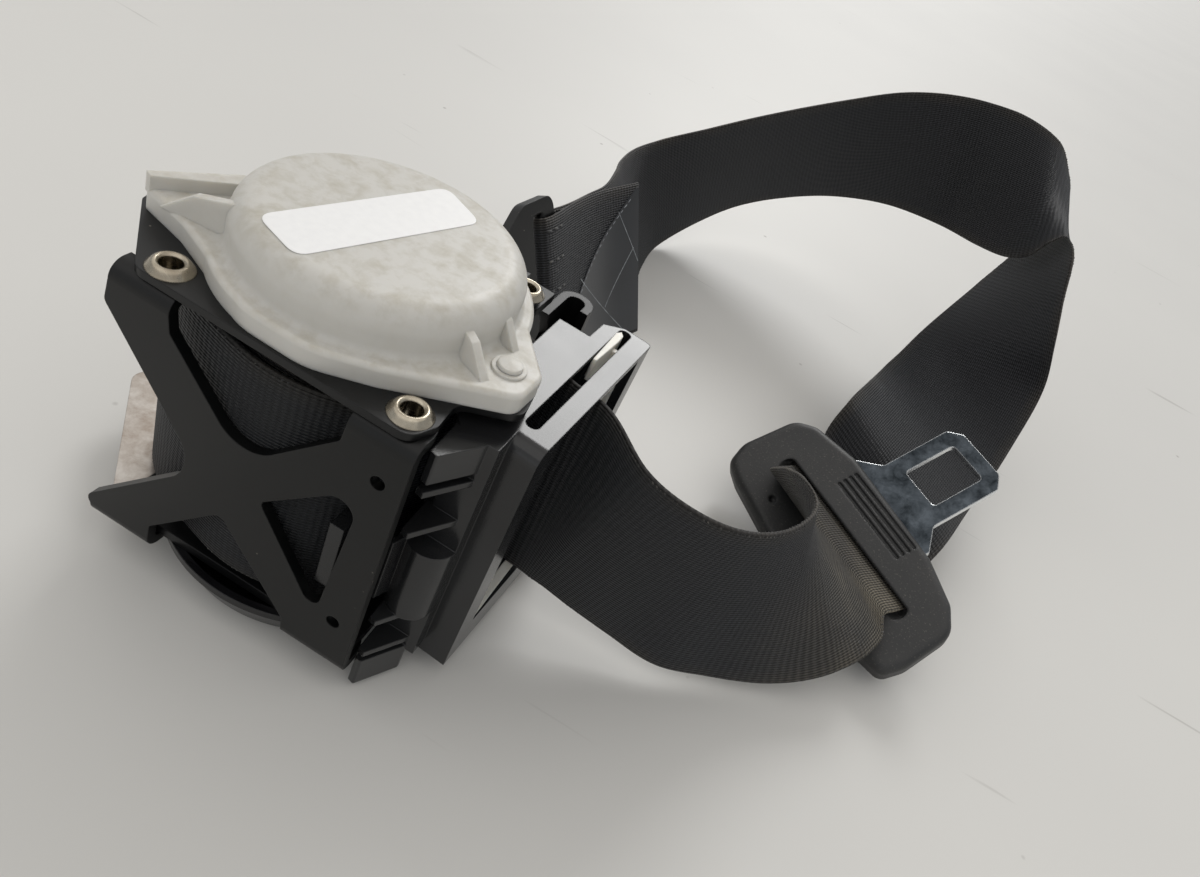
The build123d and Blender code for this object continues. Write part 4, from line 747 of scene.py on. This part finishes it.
def flap_rail(start, end, lift):
    """A rail on the flap between two places, each (mm from the fold, share from the top)."""
    rail = []
    for i in range(RAIL_STEPS + 1):
        t = i / RAIL_STEPS
        place, face = on_flap(start[0] + (end[0] - start[0]) * t,
                              start[1] + (end[1] - start[1]) * t)
        rail.append((place + face * lift, face))
    aheads = [(rail[min(i + 1, RAIL_STEPS)][0] - rail[max(i - 1, 0)][0]).normalized()
              for i in range(RAIL_STEPS + 1)]
    return [(place, ahead, face) for (place, face), ahead in zip(rail, aheads)]


label_rails = [flap_rail((label_start(0.10) + STITCH_INSET, 0.10),
                         (label_start(0.68) + STITCH_INSET, 0.68), LABEL_FACE)]
label_stitches = lay_threads("label_stitches", label_rails, (2.3, 1.7, 0.34, 0.3), 0.0, 5,
                             sewing_thread)
line_rails = [flap_rail((44.5, 0.16), (flap_length - 1.0, 0.50), LABEL_FACE),
              flap_rail((20.0, 0.46), (46.5, 0.95), LABEL_FACE),
              flap_rail((51.5, 0.41), (36.0, 0.73), LABEL_FACE)]
label_lines = lay_threads("label_lines", line_rails, (0.42, 0.60, 0.42, 0.12), 0.0, 6,
                          sewing_thread)
sewn = strap[marks[fold_at - 4]:marks[fold_at - 1]]
seam_sides = ((sewn, WEB_THICK / 2), (flap[:6], -WEB_THICK / 2))
seam_rails = [face_rail(part, row, lift) for part, lift in seam_sides for row in SEAM_ROWS]
seam_stitches = lay_threads("seam_stitches", seam_rails, (2.9, 2.3, 0.6, 0.5), 0.0, 8,
                            selvedge_yarn)

# %% [markdown]
# Pressed steel plates of a retractor are dipped in black electrocoat: an even, slightly
# satin film that is thinnest on the sheared edges. A little dust lies on it. The top plate
# has the same film, somewhat glossier. The Bevel node rounds the normals at sharp CAD edges,
# so that they catch a thin line of light as real edges do.

# %% Electrocoated plates
def electrocoat(name, base, dusty, roughness):
    """Black electrocoat on pressed steel."""
    finish, tree = start_finish(name)
    where = add_node(tree, "TexCoord").outputs["Object"]
    coat, handling = drifting(tree, where, {"Scale": 60.0, "Detail": 5.0, "Roughness": 0.65},
                              base, dusty, (0.42, 0.75))
    film = add_node(tree, "TexNoise", {"Scale": 1100.0, "Detail": 2.0}, {"Vector": where})
    specks = speckled(tree, where, 420.0, 0.03, 0.09, 1.0)
    rare = add_node(tree, "MapRange", {"From Min": 0.56, "From Max": 0.66}, {"Value": handling})
    dust = add_node(tree, "Math", {"operation": "MULTIPLY"}, {0: specks, 1: rare})
    dusted = add_node(tree, "Mix", {"data_type": "RGBA", 7: linear("#8b867c")},
                      {0: dust, 6: coat})
    gloss = add_node(tree, "MapRange",
                     {"To Min": roughness - 0.06, "To Max": roughness + 0.14}, {"Value": handling})
    relief, _ = softened(tree, film, 0.12, 0.05, 0.3)
    end_finish(tree, {"Specular IOR Level": 0.34},
               {"Base Color": dusted.outputs[2], "Roughness": gloss, "Normal": relief})
    return finish


black_electrocoat = electrocoat("black_electrocoat", "#060707", "#0f0f0f", 0.34)
satin_electrocoat = electrocoat("satin_black_electrocoat", "#08090a", "#111213", 0.30)

# %% [markdown]
# The bottom plate is zinc plated where its lobe shows, with a faint warm passivation, and
# coated black further in. The rivets are nickel plated and turned by the tool that rolled
# their heads. The latch plate is blanked from thick sheet and plated: its faces are bluish and
# mottled, and its sheared sides and rounded edges are painted near white as a painted
# highlight. The shaft, the pawl with its pin and the sensor's ball are ground steel, and the
# power spring is blued strip. A metal's colour tints its reflection, so all bare metal is
# metallic 1.

# %% Plated metals
def plated(name, dark, light, roughness, grain, grain_scale, edge_highlight=None, plate_up=None,
           coated_from=None):
    """A plated metal with a mottled tint.

    Where asked for it has a painted edge highlight, and black coating past a place on its x axis.
    """
    finish, tree = start_finish(name)
    coords = add_node(tree, "TexCoord")
    where = coords.outputs["Object"]
    tone, mottle = drifting(tree, where, {"Scale": 230.0, "Detail": 7.0, "Roughness": 0.66,
                                          "Distortion": 0.3}, dark, light, (0.34, 0.68))
    gloss = add_node(tree, "MapRange",
                     {"To Min": roughness + 0.12, "To Max": roughness - 0.08}, {"Value": mottle})
    if edge_highlight:
        # Painted highlight: the sheared sides, which face away from the plate's normal, turn near
        # white.
        facing = add_node(tree, "VectorMath", {"operation": "DOT_PRODUCT", 1: tuple(plate_up)},
                          {0: coords.outputs["Normal"]})
        flat = add_node(tree, "Math", {"operation": "ABSOLUTE"}, {0: facing.outputs["Value"]})
        cut = add_node(tree, "MapRange", {"From Min": 0.93, "From Max": 0.5}, {"Value": flat})
        tone = add_node(tree, "Mix", {"data_type": "RGBA", 7: linear(edge_highlight)},
                        {0: cut, 6: tone}).outputs[2]
    bare = add_node(tree, "Value")
    bare.outputs[0].default_value = 1.0
    if coated_from is not None:
        place = add_node(tree, "SeparateXYZ", links={0: where})
        bare = add_node(tree, "MapRange",
                        {"From Min": coated_from, "From Max": coated_from + 0.3 * MM,
                         "To Min": 1.0, "To Max": 0.0}, {"Value": place.outputs["X"]})
        tone = add_node(tree, "Mix", {"data_type": "RGBA", 6: linear("#08090a")},
                        {0: bare, 7: tone}).outputs[2]
    fine = add_node(tree, "TexNoise", {"Scale": grain_scale, "Detail": 2.0}, {"Vector": where})
    relief, edge = softened(tree, fine, grain, 0.04, 0.45 if edge_highlight else 0.25)
    if edge_highlight:
        # Painted highlight: where the bevel turns the normal, the rounded rims turn near white
        # too.
        true_side = add_node(tree, "NewGeometry")
        turned = add_node(tree, "VectorMath", {"operation": "DOT_PRODUCT"},
                          {0: edge, 1: true_side.outputs["True Normal"]})
        painted_rim_highlight = add_node(tree, "MapRange", {"From Min": 0.99, "From Max": 0.86},
                       {"Value": turned.outputs["Value"]})
        tone = add_node(tree, "Mix", {"data_type": "RGBA", 7: linear(edge_highlight)},
                        {0: painted_rim_highlight, 6: tone}).outputs[2]
    end_finish(tree, {"Specular IOR Level": 0.34},
               {"Base Color": tone, "Metallic": bare, "Roughness": gloss, "Normal": relief})
    return finish


zinc_plating = plated("zinc_plated_sheet", "#a0958b", "#c9c4be", 0.34, 0.18, 1500.0,
                      coated_from=-26.0 * MM)
nickel_plating = plated("nickel_plated_rivet", "#978d7d", "#c2baa9", 0.24, 0.10, 1200.0)
# The near-white edge colour is a painted highlight on the latch's sheared sides and rounded edges.
latch_plating = plated("plated_latch_steel", "#262b2f", "#596067", 0.36, 0.22, 1300.0,
                       "#eef0f1", TONGUE_UP)
bare_steel = plated("ground_tool_steel", "#8b8d8f", "#b4b6b8", 0.34, 0.2, 1800.0)
blued_spring = plated("blued_spring_steel", "#4b5158", "#7c848c", 0.3, 0.1, 1800.0)

# %% [markdown]
# The spring cover is natural polypropylene, not dyed: light enters its skin and comes out
# softened, so it needs subsurface scattering. Its top is dulled by handling. The liner of
# the guide is natural acetal, whiter and slicker.

# %% Natural plastics
def natural_plastic(name, clean, soiled, roughness, depth, soil_from, soil_to):
    """Undyed plastic that scatters light below its skin."""
    finish, tree = start_finish(name)
    coords = add_node(tree, "TexCoord")
    where = coords.outputs["Object"]
    smear = add_node(tree, "TexNoise",
                     {"Scale": 330.0, "Detail": 6.0, "Roughness": 0.62, "Distortion": 0.2},
                     {"Vector": where})
    facing = add_node(tree, "SeparateXYZ", links={0: coords.outputs["Normal"]})
    upward = add_node(tree, "MapRange",
                      {"From Min": 0.3, "From Max": 0.95, "To Min": 0.15, "To Max": 1.0},
                      {"Value": facing.outputs["Z"]})
    soil = add_node(tree, "MapRange", {"From Min": soil_from, "From Max": soil_to},
                    {"Value": smear})
    share = add_node(tree, "Math", {"operation": "MULTIPLY"}, {0: soil, 1: upward})
    tone = add_node(tree, "Mix", {"data_type": "RGBA", 6: linear(clean), 7: linear(soiled)},
                    {0: share})
    skin = add_node(tree, "TexNoise", {"Scale": 900.0, "Detail": 2.0}, {"Vector": where})
    relief, _ = softened(tree, skin, 0.10, 0.05, 0.35)
    gloss = add_node(tree, "MapRange",
                     {"To Min": roughness - 0.08, "To Max": roughness + 0.16}, {"Value": smear})
    end_finish(tree, {"IOR": 1.49, "Subsurface Weight": 0.55,
                      "Subsurface Radius": (1.0, 0.92, 0.8), "Subsurface Scale": depth},
               {"Base Color": tone.outputs[2], "Roughness": gloss, "Normal": relief})
    return finish


natural_polypropylene = natural_plastic("natural_polypropylene", "#c7c5bf", "#a9a393", 0.38,
                                        1.6 * MM, 0.42, 0.86)
natural_acetal = natural_plastic("natural_acetal", "#e3e0d6", "#c9c4b6", 0.36, 1.2 * MM, 0.5, 0.9)

# %% [markdown]
# The guide is nylon with glass fibre, dyed dark grey: slick, with flow marks near its skin.
# The bowl under the plates is glossy black. The tongue's body is polypropylene moulded in an
# eroded tool, which gives a dry grain of about half a millimetre, and dust sits in it. What
# stays inside is plain black moulding.

# %% Dyed plastics
def dyed_plastic(name, dark, light, roughness, grain_mm, grain, dust=None, round_mm=0.3):
    """Dyed plastic with a moulded grain and, where asked for, dust in the grain."""
    finish, tree = start_finish(name)
    where = add_node(tree, "TexCoord").outputs["Object"]
    grains = add_node(tree, "TexNoise",
                      {"Scale": 1.0 / (grain_mm * MM), "Detail": 3.0, "Roughness": 0.6},
                      {"Vector": where})
    tone, flow = drifting(tree, where, {"Scale": 55.0, "Detail": 5.0, "Distortion": 0.6},
                          dark, light, (0.35, 0.7))
    if dust:
        low = add_node(tree, "MapRange",
                       {"From Min": 0.60, "From Max": 0.74, "To Max": 0.55}, {"Value": grains})
        tone = add_node(tree, "Mix", {"data_type": "RGBA", 7: linear(dust)},
                        {0: low, 6: tone}).outputs[2]
    gloss = add_node(tree, "MapRange",
                     {"To Min": roughness - 0.06, "To Max": roughness + 0.12}, {"Value": flow})
    relief, _ = softened(tree, grains, grain, 0.10, round_mm, samples=6)
    end_finish(tree, {"IOR": 1.5}, {"Base Color": tone, "Roughness": gloss, "Normal": relief})
    return finish


grey_nylon = dyed_plastic("glass_filled_grey_nylon", "#1b1b1c", "#262728", 0.17, 0.35, 0.10)
black_bowl = dyed_plastic("gloss_black_moulding", "#0c0c0e", "#141416", 0.20, 0.8, 0.05)
grained_tongue = dyed_plastic("grained_tongue_moulding", "#1f2021", "#2c2c2c", 0.46, 0.5, 0.55,
                              "#6a665e", 1.0)
inner_plastic = dyed_plastic("black_inner_moulding", "#17181a", "#202123", 0.42, 0.5, 0.15)

# %% [markdown]
# The solids come plain. A table names what each is made of, which is easier to check than a
# rule, and what it leaves out is one of the black mouldings inside.

# %% Give every CAD node its finish
finishes = {
    "frame_front_plate": black_electrocoat, "frame_rear_plate": black_electrocoat,
    "frame_top_plate": satin_electrocoat, "frame_bottom_plate": zinc_plating,
    "anchor_plate": black_electrocoat, "top_rivets": nickel_plating,
    "bottom_rivets": nickel_plating,
    "spring_cover": natural_polypropylene, "cover_pins": natural_polypropylene,
    "mechanism_cover": black_bowl, "webbing_guide": grey_nylon, "guide_liner": natural_acetal,
    "tongue_plate": latch_plating, "tongue_cover": grained_tongue, "power_spring": blued_spring,
    "torsion_bar": bare_steel, "lock_pawl": bare_steel, "pawl_pin": bare_steel,
    "sensor_ball": bare_steel,
}
for name, node in nodes.items():
    finish = finishes.get(name, inner_plastic)
    node.data.materials.clear()
    node.data.materials.append(finish)
print("nodes with their own finish:", len(finishes), "of", len(nodes))

# %% [markdown]
# A paper sticker lies on the cover. It is blank here. It is a thin rounded sheet that stands a
# tenth of a millimetre proud, with its edge rolled a little, so it casts the fine shadow line
# that tells paper from paint.

# %% Blank sticker on the spring cover
COVER_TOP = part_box("spring_cover")[1].z / MM
STICKER_T = 0.12
STICKER_CORNERS = [Vector((-12.4, -16.9)), Vector((-2.6, -20.6)), Vector((8.6, 14.6)),
                   Vector((-1.2, 19.4))]
STICKER_ROUND = 2.6


def rounded_outline(corners, radius, steps):
    """The corners' outline, each corner rounded by short arcs."""
    outline = []
    for i, corner in enumerate(corners):
        before = (corners[i - 1] - corner).normalized()
        after = (corners[(i + 1) % len(corners)] - corner).normalized()
        start, end = corner + before * radius, corner + after * radius
        for k in range(steps + 1):
            t = k / steps
            outline.append(start * (1 - t) ** 2 + corner * 2 * t * (1 - t) + end * t ** 2)
    return outline


bm = bmesh.new()
outline = rounded_outline(STICKER_CORNERS, STICKER_ROUND, 6)
middle = sum(outline, Vector((0, 0))) / len(outline)
rings = []
STICKER_LEVELS = ((1.0, 0.02), (1.0, STICKER_T * 0.7), (0.985, STICKER_T))
for share, z in STICKER_LEVELS:
    flat = [middle + (p - middle) * share for p in outline]
    rings.append([bm.verts.new(Vector((p.x, p.y, COVER_TOP + z)) * MM) for p in flat])
for low, high in zip(rings, rings[1:]):
    for i in range(len(outline)):
        n = (i + 1) % len(outline)
        bm.faces.new((low[i], low[n], high[n], high[i]))
bm.faces.new(rings[-1])
bm.faces.new(list(reversed(rings[0])))
blank_sticker = mesh_piece("blank_sticker", bm)
label_paper, tree = start_finish("coated_label_paper")
where = add_node(tree, "TexCoord").outputs["Object"]
paper, pulp = drifting(tree, where, {"Scale": 700.0, "Detail": 4.0}, "#e6e6e6", "#f0f0ef")
bump = add_node(tree, "Bump", {"Strength": 0.08, "Distance": 0.03 * MM}, {"Height": pulp})
end_finish(tree, {"Roughness": 0.45}, {"Base Color": paper, "Normal": bump})
blank_sticker.data.materials.append(label_paper)
print("sticker on z =", round(COVER_TOP, 2))

# %% [markdown]
# Last, the CAD solids of the webbing, its roll and the belt label are hidden, since the new
# pieces stand in for them, and every piece is told what carries it.

# %% Carry the pieces
web_nodes = [n for n in nodes
             if n.startswith("webbing_") and n not in ("webbing_roll", "webbing_guide")]
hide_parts(*web_nodes)
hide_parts("webbing_roll")
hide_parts("belt_label")
for piece in (belt_strap, belt_selvedge, sewn_label, label_stitches, label_lines, seam_stitches,
              blank_sticker):
    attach(piece, "retractor")
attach(roll_winding, "spool")
